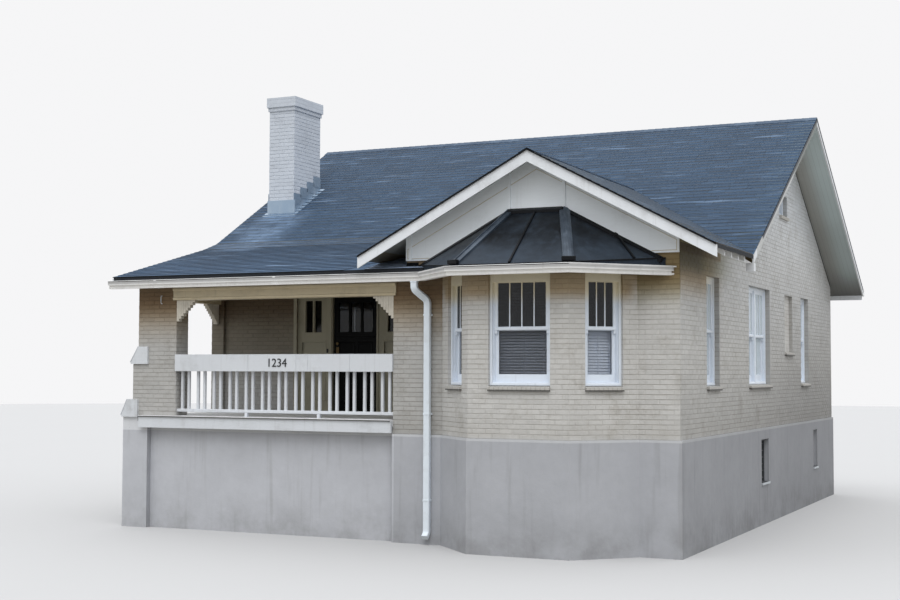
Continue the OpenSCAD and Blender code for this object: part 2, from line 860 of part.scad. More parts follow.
module back_glass() {
    color("lightblue") house_axes() {
        on_rear() panes(rear_win, sill_z, head_z);
        on_left() {
            panes(left_win, sill_z, head_z);
            small_pane(gable_win[0], gable_win[1], gable_win_z, gable_win_z + gable_win_h);
        }
    }
}

module window_sills() {
    color("silver") house_axes() {
        for (side = [0:2]) on_bay(side)
            sill(bay_win[side][0], bay_win[side][1], bay_sill_z, bay_sill_d);
        on_right() {
            for (v = right_win) sill(v[0], v[1], sill_z, wall_t);
            sill(gable_win[0], gable_win[1], gable_win_z, wall_t);
            sill(niche_y, niche_w, niche_z, niche_d);
        }
        on_left() {
            for (v = left_win) sill(v[0], v[1], sill_z, wall_t);
            sill(gable_win[0], gable_win[1], gable_win_z, wall_t);
        }
        on_rear() for (v = rear_win) sill(v[0], v[1], sill_z, wall_t);
    }
}

// Louvred vents with a white sill
module basement_vents() {
    z0 = vent_top - vent_h;
    pitch = (vent_h - 2 * vent_frame) / vent_slats;
    color("whitesmoke") house_axes() on_right() for (v = vent_list) {
        ring_frame(v[0], v[0] + v[1], -110, -50, z0, vent_top, vent_frame, vent_frame);
        block(v[0], v[0] + v[1], -50, foundation_proud + 25, z0, z0 + vent_frame);
        for (i = [0:vent_slats - 1])
            block(v[0] + vent_frame, v[0] + v[1] - vent_frame, -100, -60,
                z0 + vent_frame + (i + 0.5) * pitch, z0 + vent_frame + (i + 0.5) * pitch + 12);
    }
}

// Places of the two lites in a sidelight that starts at x
function lite_x(x) = [for (i = [0:1]) x + (side_panel_w / 2 - lite_w - 15) + i * (lite_w + 30)];

module sidelight_lites(y0, y1) {
    for (x0 = [entry_left, entry_right - side_panel_w], x = lite_x(x0))
        block(x, x + lite_w, y0, y1, lite_z, lite_z + lite_h);
}

// Frame side of the hinges: plates on the jamb, end knuckles and pins
module frame_hinges() {
    h = knuckle_h + 2 * end_knuckle_h;
    for (z = hinge_list) translate([0, 0, leaf_z + z]) {
        translate([hinge_x, hinge_y, -h / 2]) cylinder(h = h, r = pin_r);
        for (z0 = [-h / 2, h / 2 - end_knuckle_h + 1]) {
            translate([hinge_x, hinge_y, z0]) cylinder(h = end_knuckle_h - 1, r = hinge_r);
            block(hinge_x, hinge_x + hinge_plate_w, door_back, hinge_y - pin_r, z0,
                z0 + end_knuckle_h - 1);
        }
    }
}

// Leaf side of the hinges: plates on the leaf and middle knuckles
module leaf_hinges() {
    for (z = hinge_list) translate([0, 0, leaf_z + z - knuckle_h / 2]) difference() {
        union() {
            translate([hinge_x, hinge_y, 0]) cylinder(h = knuckle_h, r = hinge_r);
            block(hinge_x - hinge_plate_w, hinge_x, door_back, hinge_y - pin_r - pin_gap * 2, 0, knuckle_h);
        }
        translate([hinge_x, hinge_y, -1]) cylinder(h = knuckle_h + 2, r = pin_r + pin_gap);
    }
}

// Frame of the entry: sidelights, mullions, head and threshold
module door_frame() {
    color("darkkhaki") house_axes() frame_hinges();
    color("darkkhaki") house_axes() difference() {
        block(entry_left, entry_right, frame_front, door_back, 0, entry_head);
        block(door_x - door_gap, door_x + door_w + door_gap, frame_front - 1, door_back + 1,
            door_floor_z, door_head_z);
        for (x = [entry_left, entry_right - side_panel_w])
            block(x + jamb_w, x + side_panel_w - jamb_w, frame_front - 1, frame_front + 25,
                door_floor_z + 200, lite_z - 150);
        sidelight_lites(frame_front - 1, door_back + 1);
    }
}

module sidelight_glass() {
    mid = (frame_front + door_back) / 2;
    color("lightblue") house_axes() sidelight_lites(mid - glass_t / 2, mid + glass_t / 2);
}

// Door pieces swing inward about the pins by the right jamb
module on_door() {
    hinge = [hinge_x, hinge_y, 0];
    translate(hinge) rotate([0, 0, -door_angle]) translate(-hinge) children();
}

module door_lites(y0, y1) {
    pitch = (door_w - 2 * stile_w + 30) / 3;
    for (i = [0:2])
        block(door_x + stile_w + i * pitch, door_x + stile_w + (i + 1) * pitch - 30, y0, y1,
            lite_z, lite_z + lite_h - 40);
}

module front_door() {
    color("black") house_axes() on_door() leaf_hinges();
    color("black") house_axes() on_door() difference() {
        block(door_x, door_x + door_w, door_y, door_back, leaf_z, leaf_z + door_h);
        door_lites(door_y - 1, door_back + 1);
        block(door_x + stile_w, door_x + door_w - stile_w, door_y - 1, door_y + 10,
            leaf_z + 200, lite_z - 150);
    }
}

module door_glass() {
    mid = (door_y + door_back) / 2;
    color("lightblue") house_axes() on_door() door_lites(mid - glass_t / 2, mid + glass_t / 2);
}

module door_knob() {
    color("goldenrod") house_axes() on_door() for (s = [[door_y, 90], [door_back, -90]])
        translate([door_x + 70, s[0], leaf_z + knob_z]) rotate([s[1], 0, 0]) {
            cylinder(h = 6, r = knob_r);
            cylinder(h = 40, r = knob_r / 3);
            translate([0, 0, 40]) sphere(knob_r);
        }
}

module porch_floor() {
    top = porch_floor_z;
    lip = top - 26;
    front = -nosing - fascia_t - 20;
    color("lightgray") house_axes() difference() {
        along_x(left_x, wing_x) polygon([[front, lip], [-nosing, lip], [-nosing, top - slab_t],
            [porch_depth, top - slab_t], [porch_depth, top], [front, top]]);
        block(left_x - 1, left_x + 70, front - 1, 0, 0, top + 1);
        block(left_x - 1, left_x + wall_t, porch_depth - left_wall_lap, porch_depth + 1, 0, top + 1);
        block(opening_right, wing_x + 1, front - 1, wall_t, 0, top + 1);
        low_cap();
    }
}

module porch_fascia() {
    top = porch_floor_z - 26;
    color("lavender") house_axes()
        block(left_x + 70, opening_right, -nosing - fascia_t, -nosing, top - fascia_h, top);
}

module high_cap() {
    x = left_x;
    along_y(-cap_over, pier_t + cap_over) polygon([[x - 130, cap_high_z], [x + 210, cap_high_z],
        [x + 210, cap_high_z + cap_h], [x + 23, cap_high_z + cap_h], [x - 130, cap_high_z + 30]]);
}

module low_cap() {
    x = left_x;
    along_y(-cap_over, pier_t + cap_over) polygon([[x - 315, cap_low_z], [x + 15, cap_low_z],
        [x + 15, cap_low_z + cap_h], [x - 195, cap_low_z + cap_h], [x - 315, cap_low_z + 30]]);
}

module porch_pier() {
    color("silver") house_axes() difference() {
        union() {
            block(left_x, pier_right, 0, pier_t, porch_floor_z, beam_top);
            block(left_x - step_high, left_x, 0, pier_t, cap_low_z, cap_high_z);
        }
        high_cap();
        low_cap();
    }
}

module pier_caps() {
    color("white") house_axes() {
        high_cap();
        low_cap();
    }
}

module porch_beam() {
    color("tan") house_axes() {
        block(pier_right, opening_right, -beam_proud, wall_t, beam_z, beam_top);
        block(pier_right - beam_lap, opening_right + beam_lap, -beam_proud, 0, beam_z, beam_top);
        block(pier_right, opening_right, -beam_proud / 2, wall_t, beam_z - moulding_h, beam_z);
        along_x(left_x, left_x + side_beam_t) polygon([[pier_t, beam_z],
            [porch_depth - left_wall_lap, beam_z],
            [porch_depth - left_wall_lap, under_porch(porch_depth - left_wall_lap)],
            [pier_t, under_porch(pier_t)]]);
    }
}

module porch_ceiling() {
    color("tan") house_axes() difference() {
        block(left_x + side_beam_t, wing_x, wall_t, porch_depth, beam_top - ceiling_t, beam_top);
        block(left_x, left_x + wall_t, porch_depth - left_wall_lap, porch_depth + 1, 0, beam_top + 1);
        block(left_x, pier_right, 0, pier_t, 0, beam_top + 1);
    }
}

// Side of a stepped bracket that hangs from its top left corner
module bracket_profile() {
    pitch = bracket_l / bracket_steps;
    polygon([[0, 0], [bracket_l, 0], for (i = [0 : bracket_steps - 1], k = [0, 1])
        [bracket_l - (i + k) * pitch, -bracket_drop - i * pitch], [0, -bracket_drop - bracket_l + pitch]]);
}

module porch_brackets() {
    top = beam_z - moulding_h;
    brace_y = porch_depth - left_wall_lap;
    color("tan") house_axes() {
        translate([pier_right, 0, top]) along_y(0, bracket_t) bracket_profile();
        translate([opening_right, 0, top]) along_y(0, bracket_t) mirror([1, 0]) bracket_profile();
        translate([left_x + 60, brace_y, beam_z]) along_x(0, bracket_t) mirror([1, 0]) bracket_profile();
    }
}

// Open box whose front board stands just proud of the pier
module planter_box() {
    t = 30;
    color("white") house_axes() difference() {
        block(pier_right, opening_right, -beam_proud, planter_d - beam_proud, planter_z - planter_h, planter_z);
        block(pier_right + t, opening_right - t, t - beam_proud, planter_d - beam_proud - t,
            planter_z - planter_h + t, planter_z + 1);
    }
}

module porch_railing() {
    z0 = porch_floor_z + rail_lift;
    y0 = 40;
    pitch = (opening_right - pier_right) / baluster_pairs;
    color("white") house_axes() {
        block(pier_right, opening_right, y0, y0 + rail_d, z0, z0 + rail_h);
        for (i = [0 : baluster_pairs - 1], s = [-1, 1])
            translate([pier_right + (i + 0.5) * pitch + s * baluster_gap / 2 - baluster_w / 2, 0, 0])
                block(0, baluster_w, y0 + 10, y0 + 10 + baluster_w, z0 + rail_h, planter_z - planter_h);
        for (i = [1:2])
            translate([pier_right + i * (opening_right - pier_right) / 3 - rail_h / 2, 0, 0])
                block(0, rail_h, y0, y0 + rail_d, porch_floor_z, z0);
    }
}

// The top of the chimney steps out twice
module chimney() {
    x1 = chimney_x + chimney_w;
    y1 = chimney_y + chimney_d;
    color("gainsboro") house_axes() difference() {
        union() {
            block(chimney_x, x1, chimney_y, y1, 0, chimney_z);
            for (i = [1:2]) block(chimney_x - i * corbel, x1 + i * corbel, chimney_y - i * corbel,
                y1 + i * corbel, chimney_z - corbel_top - (2 - i) * corbel_h, chimney_z);
        }
        for (y = [chimney_y + flue_edge, chimney_y + (chimney_d + flue_edge) / 2])
            block(chimney_x + flue_edge, x1 - flue_edge, y, y + (chimney_d - 3 * flue_edge) / 2,
                chimney_z - flue_depth, chimney_z + 1);
    }
}

// Sheet metal collar where the chimney comes through the roof
module chimney_flashing() {
    t = 6;
    y0 = chimney_y - t;
    y1 = chimney_y + chimney_d + t;
    skirt = 90;
    color("lightslategray") house_axes() difference() {
        union() {
            along_x(chimney_x - t, chimney_x + chimney_w + t) polygon([[y0, lead_z(y0)],
                [y1, lead_z(y1)], [y1, lead_z(y1) + flashing_h], [y0, lead_z(y0) + flashing_h]]);
            along_x(chimney_x - skirt, chimney_x + chimney_w + skirt) polygon([
                [y0 - skirt, lead_z(y0 - skirt)], [y1 + skirt, lead_z(y1 + skirt)],
                [y1 + skirt, lead_z(y1 + skirt) + t], [y0 - skirt, lead_z(y0 - skirt) + t]]);
        }
        block(chimney_x, chimney_x + chimney_w, chimney_y, chimney_y + chimney_d, 0, chimney_z + 1);
    }
}

foundation_front();
foundation_right();
foundation_back();
porch_base();
house_floor();
attic_floor();
right_wall();
rear_wall();
left_wall();
wing_front_wall();
wing_side_wall();
bay_wall();
porch_wall_left();
porch_wall_right();
porch_wall_head();
roof_front();
roof_rear();
porch_roof();
wing_roof();
low_roof();
bay_roof();
rafter_tails();
main_rake_boards();
wing_rake_boards();
gable_panel();
front_gutter();
rear_gutter();
downspout();
bay_windows();
right_windows();
back_windows();
bay_glass();
right_glass();
back_glass();
window_sills();
basement_vents();
door_frame();
sidelight_glass();
front_door();
door_glass();
door_knob();
porch_floor();
porch_fascia();
porch_pier();
pier_caps();
porch_beam();
porch_ceiling();
porch_brackets();
planter_box();
porch_railing();
chimney();
chimney_flashing();
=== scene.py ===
"""Looks of the brick bungalow: finishes, joinery, roof sheets, light and camera.

Sizes are millimetres in the house's own axes, as in the part's source: x is 0 at the
right wall, y is 0 at the front of the wing and z is 0 at the ledge of the foundation.
Finishes and small details are in metres.
"""

import logging
import math
import random
from dataclasses import dataclass, replace
from enum import Enum
from typing import Callable, Iterable, Optional, Sequence, Union

import bmesh
import bpy
from mathutils import Matrix, Vector


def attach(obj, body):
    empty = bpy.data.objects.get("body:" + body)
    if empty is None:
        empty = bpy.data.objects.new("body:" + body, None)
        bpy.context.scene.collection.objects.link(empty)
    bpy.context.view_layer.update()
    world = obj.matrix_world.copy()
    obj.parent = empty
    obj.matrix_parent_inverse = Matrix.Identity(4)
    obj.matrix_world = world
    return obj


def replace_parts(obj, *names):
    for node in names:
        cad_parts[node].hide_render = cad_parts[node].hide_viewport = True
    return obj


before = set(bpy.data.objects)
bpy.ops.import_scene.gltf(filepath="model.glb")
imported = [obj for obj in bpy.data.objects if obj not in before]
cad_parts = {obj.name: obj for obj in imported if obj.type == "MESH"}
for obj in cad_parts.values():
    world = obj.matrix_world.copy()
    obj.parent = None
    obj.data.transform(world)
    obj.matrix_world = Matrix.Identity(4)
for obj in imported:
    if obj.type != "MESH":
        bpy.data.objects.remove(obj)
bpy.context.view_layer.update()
LOG = logging.getLogger("bungalow")

Piece = bpy.types.Object
Material = bpy.types.Material
Colour = tuple[float, float, float, float]
Pair = tuple[float, float]
Point = tuple[float, float, float]
Box = tuple[float, float, float, float]
Test = Callable[[Vector, Vector], bool]

MM = 0.001
HOUSE_ORIGIN = Vector((4.56, -5.55, 1.65))
LEDGE = HOUSE_ORIGIN.z
UP = Vector((0, 0, 1))
OUT = Vector((0, -1, 0))

RIGHT_FACE = -0.003
PORCH_SIDE = -3.69
MEETING_RAIL = 1.575
# Colours multiplied into finishes as painted shade and painted light: warm shade under the eaves,
# in the porch, beside the bay and under the rake, sky light higher up and light at the outer
# soffit.
EAVE_SHADE = (0.66, 0.52, 0.34, 1.0)
DEEP_SHADE = (0.50, 0.40, 0.30, 1.0)
EAVE_WARM_SHADE = (0.98, 0.80, 0.50, 1.0)
PORCH_SHADE = (0.50, 0.46, 0.38, 1.0)
BAY_SHADE = (0.62, 0.58, 0.42, 1.0)
NOOK_SHADE = (0.52, 0.54, 0.38, 1.0)
PAINTED_SKY_LIGHT = (1.08, 1.14, 1.24, 1.0)
OUTER_PAINTED_LIGHT = (1.25, 1.42, 1.50, 1.0)
SLOT_DARK = (0.008, 0.010, 0.013, 1.0)
EDGE_DARK = (0.018, 0.021, 0.026, 1.0)
DUST = (0.30, 0.32, 0.34, 1.0)


def place(x: float, y: float, z: float) -> Vector:
    """Turns millimetres in the house's axes into metres in the part's frame."""
    return Vector((x, y, z)) * MM + HOUSE_ORIGIN


def axes(x: Sequence[float], y: Sequence[float], z: Sequence[float], start: Vector) -> Matrix:
    """The change to a frame with these axes at a point."""
    return Matrix.Translation(start) @ Matrix((x, y, z)).transposed().to_4x4()


def upright(start: Vector) -> Matrix:
    """The change that stands a flat piece up, with its top to the front."""
    return axes((1, 0, 0), UP, OUT, start)


def upward(way: Vector) -> Vector:
    """A direction or its opposite, whichever looks up."""
    return way if way.z > 0 else -way


def paint(red: int, green: int, blue: int) -> Colour:
    """Turns a paint's 8-bit display colour into the linear colour of a shader.

    Args:
        red, green, blue: display values from 0 to 255.

    Returns:
        The linear colour with full alpha.
    """
    def linear(value: int) -> float:
        """Undoes the display curve for one channel."""
        s = value / 255
        return s / 12.92 if s <= 0.04045 else ((s + 0.055) / 1.055) ** 2.4
    return linear(red), linear(green), linear(blue), 1.0


class Side(Enum):
    """Walls that hold windows."""
    RIGHT = "right"
    LEFT = "left"
    REAR = "rear"
    BAY_LEFT = "bay_left"
    BAY_FRONT = "bay_front"
    BAY_RIGHT = "bay_right"


class Slats(Enum):
    """How the blinds behind a window stand, as the slats' tilt in degrees."""
    OPEN = 47
    SHUT = 68


@dataclass(frozen=True)
class HouseSizes:
    """Main sizes that the solids share, in millimetres in the house's axes."""
    depth: float = 11800
    left: float = -9350
    wing_left: float = -4300
    wing_mid: float = -2150
    roof_left: float = -9760
    roof_right: float = 640
    roof_back: float = 12200
    ridge_y: float = 7000
    ridge_z: float = 5657.55
    roof_slope: float = 0.56
    bend_y: float = 2860
    bend_z: float = 3339.15
    flare_y: float = 2450
    flare_z: float = 3199.75
    flare_slope: float = 0.255
    wing_ridge_z: float = 4199.5
    wing_slope: float = 0.53
    wing_front: float = -400
    wing_eave_left: float = -4940
    eave_t: float = 61
    eave_y: float = -200
    wing_wall_top: float = 2890
    bay_half: float = 775
    bay_depth: float = 770
    porch_floor: float = 216
    attic_half: float = 350
    attic_low: float = 3800
    attic_high: float = 4250

    def main_z(self, y: float) -> float:
        """Height of the main roof, front or back."""
        return self.ridge_z - self.roof_slope * abs(self.ridge_y - y)

    def porch_z(self, y: float) -> float:
        """Height of the porch roof."""
        return self.flare_z - self.flare_slope * (self.flare_y - y)

    def wing_z(self, x: float) -> float:
        """Height of the wing's roof."""
        return self.wing_ridge_z - self.wing_slope * abs(x - self.wing_mid)

    def meet_y(self, z: float) -> float:
        """Where the main roof's front slope has a height."""
        return self.ridge_y - (self.ridge_z - z) / self.roof_slope

    def valley_x(self, z: float) -> float:
        """Where the left slope of the wing's roof has a height."""
        return self.wing_mid - (self.wing_ridge_z - z) / self.wing_slope

    def valley_left_y(self, x: float, under: float = 0) -> float:
        """Where the porch roof has the height of the wing's roof, or lies this far under it."""
        return self.flare_y - (self.flare_z - self.wing_z(x) + under) / self.flare_slope


SIZES = HouseSizes()

SILL = 680
HEAD = 2420
RIGHT_ROWS = ((1435, 775), (4170, 1610), (8550, 750))
LEFT_ROWS = ((2900, 775), (6300, 1610), (9400, 775))
REAR_ROWS = ((990, 910), (3290, 1610), (7190, 910))


def holes(rows: Sequence[Pair]) -> list[Box]:
    """Windows in a wall: start, end, sill and head of each, from starts and widths."""
    return [(start, start + width, SILL, HEAD) for start, width in rows]


class Socket:
    """A node's output that Python's operators combine through Math nodes."""

    def __init__(self, graph: "Graph", source: bpy.types.NodeSocket) -> None:
        """Keeps the graph and the output that it stands for."""
        self.graph = graph
        self.source = source

    def math(self, operation: str, *others: "Number") -> "Socket":
        """Adds a Math node that starts from this socket."""
        return self.graph.math(operation, self, *others)

    def __add__(self, other: "Number") -> "Socket":
        """Sum."""
        return self.math("ADD", other)

    def __sub__(self, other: "Number") -> "Socket":
        """Difference."""
        return self.math("SUBTRACT", other)

    def __mul__(self, other: "Number") -> "Socket":
        """Product."""
        return self.math("MULTIPLY", other)

    def __truediv__(self, other: "Number") -> "Socket":
        """Quotient."""
        return self.math("DIVIDE", other)

    def __pow__(self, other: "Number") -> "Socket":
        """Power."""
        return self.math("POWER", other)

    def __gt__(self, other: "Number") -> "Socket":
        """1 where this is greater, else 0."""
        return self.math("GREATER_THAN", other)

    def __lt__(self, other: "Number") -> "Socket":
        """1 where this is less, else 0."""
        return self.math("LESS_THAN", other)

    def __rsub__(self, other: float) -> "Socket":
        """A plain number less this."""
        return self.graph.math("SUBTRACT", other, self)

    def __rtruediv__(self, other: float) -> "Socket":
        """A plain number divided by this."""
        return self.graph.math("DIVIDE", other, self)

    __radd__ = __add__
    __rmul__ = __mul__

    def fract(self) -> "Socket":
        """The part after the point."""
        return self.math("FRACT")

    def floor(self) -> "Socket":
        """The whole part."""
        return self.math("FLOOR")

    def size(self) -> "Socket":
        """The value without its sign."""
        return self.math("ABSOLUTE")

    def capped(self) -> "Socket":
        """The value, 1 at most."""
        return self.math("MINIMUM", 1.0)

    def between(self, low: float, high: float) -> "Socket":
        """Rises smoothly from 0 at low to 1 at high.

        Args:
            low, high: ends of the rise; low may be the larger.

        Returns:
            The eased value.
        """
        return self.graph.node("ShaderNodeMapRange", {"interpolation_type": "SMOOTHSTEP"},
                               {"Value": self, "From Min": low, "From Max": high})


Number = Union[Socket, float, int]
Feed = Union[Socket, float, int, tuple, Vector]
Sockets = tuple[Socket, Socket, Socket]


class Graph:
    """The node tree of a material or of the world, built from expressions."""

    def __init__(self, owner: Union[Material, bpy.types.World]) -> None:
        """Empties the owner's tree.

        Args:
            owner: the material or world that the tree belongs to.
        """
        self.owner = owner
        owner.use_nodes = True
        self.tree = owner.node_tree
        self.tree.nodes.clear()

    def node(self, kind: str, settings: Optional[dict] = None, feeds: Optional[dict] = None,
             output: Union[int, str] = 0) -> Socket:
        """Adds any node.

        Args:
            kind: the node's type.
            settings: its properties, set first.
            feeds: socket name or number to a value or link.
            output: name or number of the output to return.

        Returns:
            The chosen output.
        """
        node = self.tree.nodes.new(kind)
        for key, value in (settings or {}).items():
            setattr(node, key, value)
        for key, value in (feeds or {}).items():
            if isinstance(value, Socket):
                self.tree.links.new(value.source, node.inputs[key])
            else:
                node.inputs[key].default_value = value
        return Socket(self, node.outputs[output])

    def end(self, kind: str, shader: Socket) -> None:
        """Links a shader to the tree's end, a node of this kind."""
        end = self.tree.nodes.new(kind)
        self.tree.links.new(shader.source, end.inputs["Surface"])

    def math(self, operation: str, *values: Number) -> Socket:
        """Adds a Math node with its values or links in order."""
        return self.node("ShaderNodeMath", {"operation": operation}, dict(enumerate(values)))

    def blend(self, share: Number, first: Feed, second: Feed, kind: str = "MIX") -> Socket:
        """Mixes two colours.

        Args:
            share: how much of the second shows, from 0 to 1.
            first, second: colours or links.
            kind: the Mix node's blend type.

        Returns:
            The mixed colour.
        """
        return self.node("ShaderNodeMix", {"data_type": "RGBA", "blend_type": kind},
                         {0: share, 6: first, 7: second}, 2)

    def shade(self, colour: Feed, value: Number) -> Socket:
        """A colour darkened or lightened by a value."""
        return self.blend(1.0, colour, value, "MULTIPLY")

    def tinted(self, colour: Feed, *rows: tuple[Number, Feed]) -> Socket:
        """Multiplies a colour by others, each as far as its own mask says.

        Args:
            colour: the colour.
            rows: the masks and colours, in order.

        Returns:
            The changed colour.
        """
        for mask, other in rows:
            colour = self.blend(mask, colour, other, "MULTIPLY")
        return colour

    def toned(self, value: Number, *rows: tuple[Socket, float]) -> Number:
        """Raises or lowers a value by shares of itself, each as far as its own mask says.

        Args:
            value: the value.
            rows: the masks and shares, in order.

        Returns:
            The changed value.
        """
        for mask, share in rows:
            value = value * (1.0 + mask * share)
        return value

    def vector(self, x: Number, y: Number, z: Number = 0.0) -> Socket:
        """Three values as one vector."""
        return self.node("ShaderNodeCombineXYZ", feeds={0: x, 1: y, 2: z})

    def split(self, vector: Socket) -> Sockets:
        """One vector as its three values."""
        x = self.node("ShaderNodeSeparateXYZ", feeds={0: vector})
        return x, *(Socket(self, output) for output in x.source.node.outputs[1:])

    def spot(self) -> Socket:
        """The point on the piece, in its own coordinates."""
        return self.node("ShaderNodeTexCoord", output="Object")

    def house(self) -> Sockets:
        """The point on the piece in the house's axes, as three values in metres."""
        x, y, z = self.split(self.spot())
        return x - HOUSE_ORIGIN.x, y - HOUSE_ORIGIN.y, z - LEDGE

    def facing(self) -> Sockets:
        """The direction that the face points in, as three values."""
        return self.split(self.node("ShaderNodeTexCoord", output="Normal"))

    def along(self) -> Sockets:
        """Coordinates that lie on a wall or a roof slope.

        Returns:
            The run along the level, the rise up the face and how far the face looks up.
        """
        x, y, z = self.split(self.spot())
        nx, ny, nz = self.facing()
        flat = (nx * nx + ny * ny) ** 0.5
        level = flat < 0.05
        lean = flat.math("MAXIMUM", 0.05)
        run = (y * nx - x * ny) / lean
        rise = z / lean
        return run + (x - run) * level, rise + (y - rise) * level, nz

    def under_eaves(self) -> Socket:
        """How deep a place lies in the brown shade under the front eaves, 0 to 1.

        Returns:
            The depth, which starts at another height on the bay and in the porch.
        """
        x, y, z = self.house()
        porch = x < PORCH_SIDE
        bay = y.between(0.0, -0.15) * (1.0 - porch)
        shade = (z.between(1.92, 2.36) * (1.0 - porch - bay) + z.between(1.88, 2.13) * bay
                 + z.between(1.25, 2.1) * porch)
        return shade * (z < 2.8) * y.between(2.7, 1.3)

    def deep_eaves(self) -> Socket:
        """How deep a place lies in the darkest shade under the porch's eave, 0 to 1.

        Returns:
            The depth, less at the very top and beside the wing.
        """
        x, y, z = self.house()
        beside = (x > -4.6) * z.between(1.65, 1.8) * z.between(2.15, 1.95)
        shade = (z.between(1.65, 2.15) - beside * 0.2) * (1.0 - z.between(2.2, 2.45) * 0.6)
        return shade * (x < PORCH_SIDE) * (y < 2.5)

    def right_side_shade(self) -> Socket:
        """How far a place lies down the right side, where shade is painted, 0 to 1."""
        x, y, z = self.house()
        return (x > RIGHT_FACE) * y.between(0.5, 10.0) * z.between(3.6, 0.6)

    def noise(self, scale: float, detail: float = 3.0, rough: float = 0.55,
              at: Optional[Socket] = None) -> Socket:
        """Cloudy noise from 0 to 1.

        Args:
            scale: how many clouds fit in a metre.
            detail: how many finer layers it has.
            rough: how strong they are.
            at: the point to read it at, or None for the point on the piece.

        Returns:
            The noise.
        """
        return self.node("ShaderNodeTexNoise", {"noise_dimensions": "3D"},
                         {"Vector": at or self.spot(), "Scale": scale, "Detail": detail,
                          "Roughness": rough})

    def stretched(self, x: float, y: float, z: float, scale: float = 1.0,
                  detail: float = 3.0) -> Socket:
        """Noise drawn out along an axis, as grain or streaks are.

        Args:
            x, y, z: how often it changes along each axis.
            scale, detail: see noise.

        Returns:
            The noise.
        """
        drawn = self.node("ShaderNodeMapping", {}, {"Vector": self.spot(), "Scale": (x, y, z)})
        return self.noise(scale, detail, 0.6, drawn)

    def lot(self, number: Socket) -> Socket:
        """A value from 0 to 1 of its own for each whole number."""
        return self.node("ShaderNodeTexWhiteNoise", {"noise_dimensions": "1D"},
                         {"W": number.floor()})

    def bricks(self, at: Socket, length: float, course: float, gap: float, soft: float,
               fill: float) -> tuple[Socket, Socket]:
        """Running bond.

        Args:
            at: the point to read it at.
            length, course: pitches along and up, metres.
            gap: width of the joints, metres.
            soft: how softly they end.
            fill: what the first value is in them.

        Returns:
            Each brick's own value from 0 to 1, and 1 in the joints.
        """
        own = self.node("ShaderNodeTexBrick", {"offset": 0.5, "squash": 1.0}, {
            "Vector": at, "Color1": (0, 0, 0, 1), "Color2": (1, 1, 1, 1),
            "Mortar": (fill, fill, fill, 1), "Scale": 1.0, "Mortar Size": gap,
            "Mortar Smooth": soft, "Bias": 0.0, "Brick Width": length, "Row Height": course})
        return own, Socket(self, own.source.node.outputs["Fac"])

    def bump(self, height: Socket, depth: float, strength: float = 1.0,
             under: Optional[Socket] = None) -> Socket:
        """A relief.

        Args:
            height: the relief's height, from 0 to 1.
            depth: metres from 0 to 1.
            strength: how much of it shows.
            under: another relief below it.

        Returns:
            The changed normal.
        """
        feeds = {"Height": height, "Distance": depth, "Strength": strength}
        if under is not None:
            feeds["Normal"] = under
        return self.node("ShaderNodeBump", {}, feeds)

    def surface(self, colour: Feed, rough: Number = 0.6, normal: Optional[Socket] = None,
                metal: Number = 0.0, alpha: Number = 1.0, specular: float = 0.5) -> Material:
        """Ends the tree in a Principled shader.

        Args:
            colour: the base colour.
            rough: its roughness.
            normal: a relief, or None.
            metal: how metallic it is.
            alpha: how much light it stops.
            specular: level of its reflection.

        Returns:
            The finished material.
        """
        feeds = {"Base Color": colour, "Roughness": rough, "Metallic": metal, "Alpha": alpha,
                 "Specular IOR Level": specular}
        if normal is not None:
            feeds["Normal"] = normal
        self.end("ShaderNodeOutputMaterial", self.node("ShaderNodeBsdfPrincipled", {}, feeds))
        return self.owner


@dataclass(frozen=True)
class Finish:
    """What the finishes share.

    Attributes:
        name: the material's name.
        colour: its main colour.
    """
    name: str
    colour: Colour

    def start(self) -> Graph:
        """The new material's empty tree."""
        return Graph(bpy.data.materials.new(self.name))


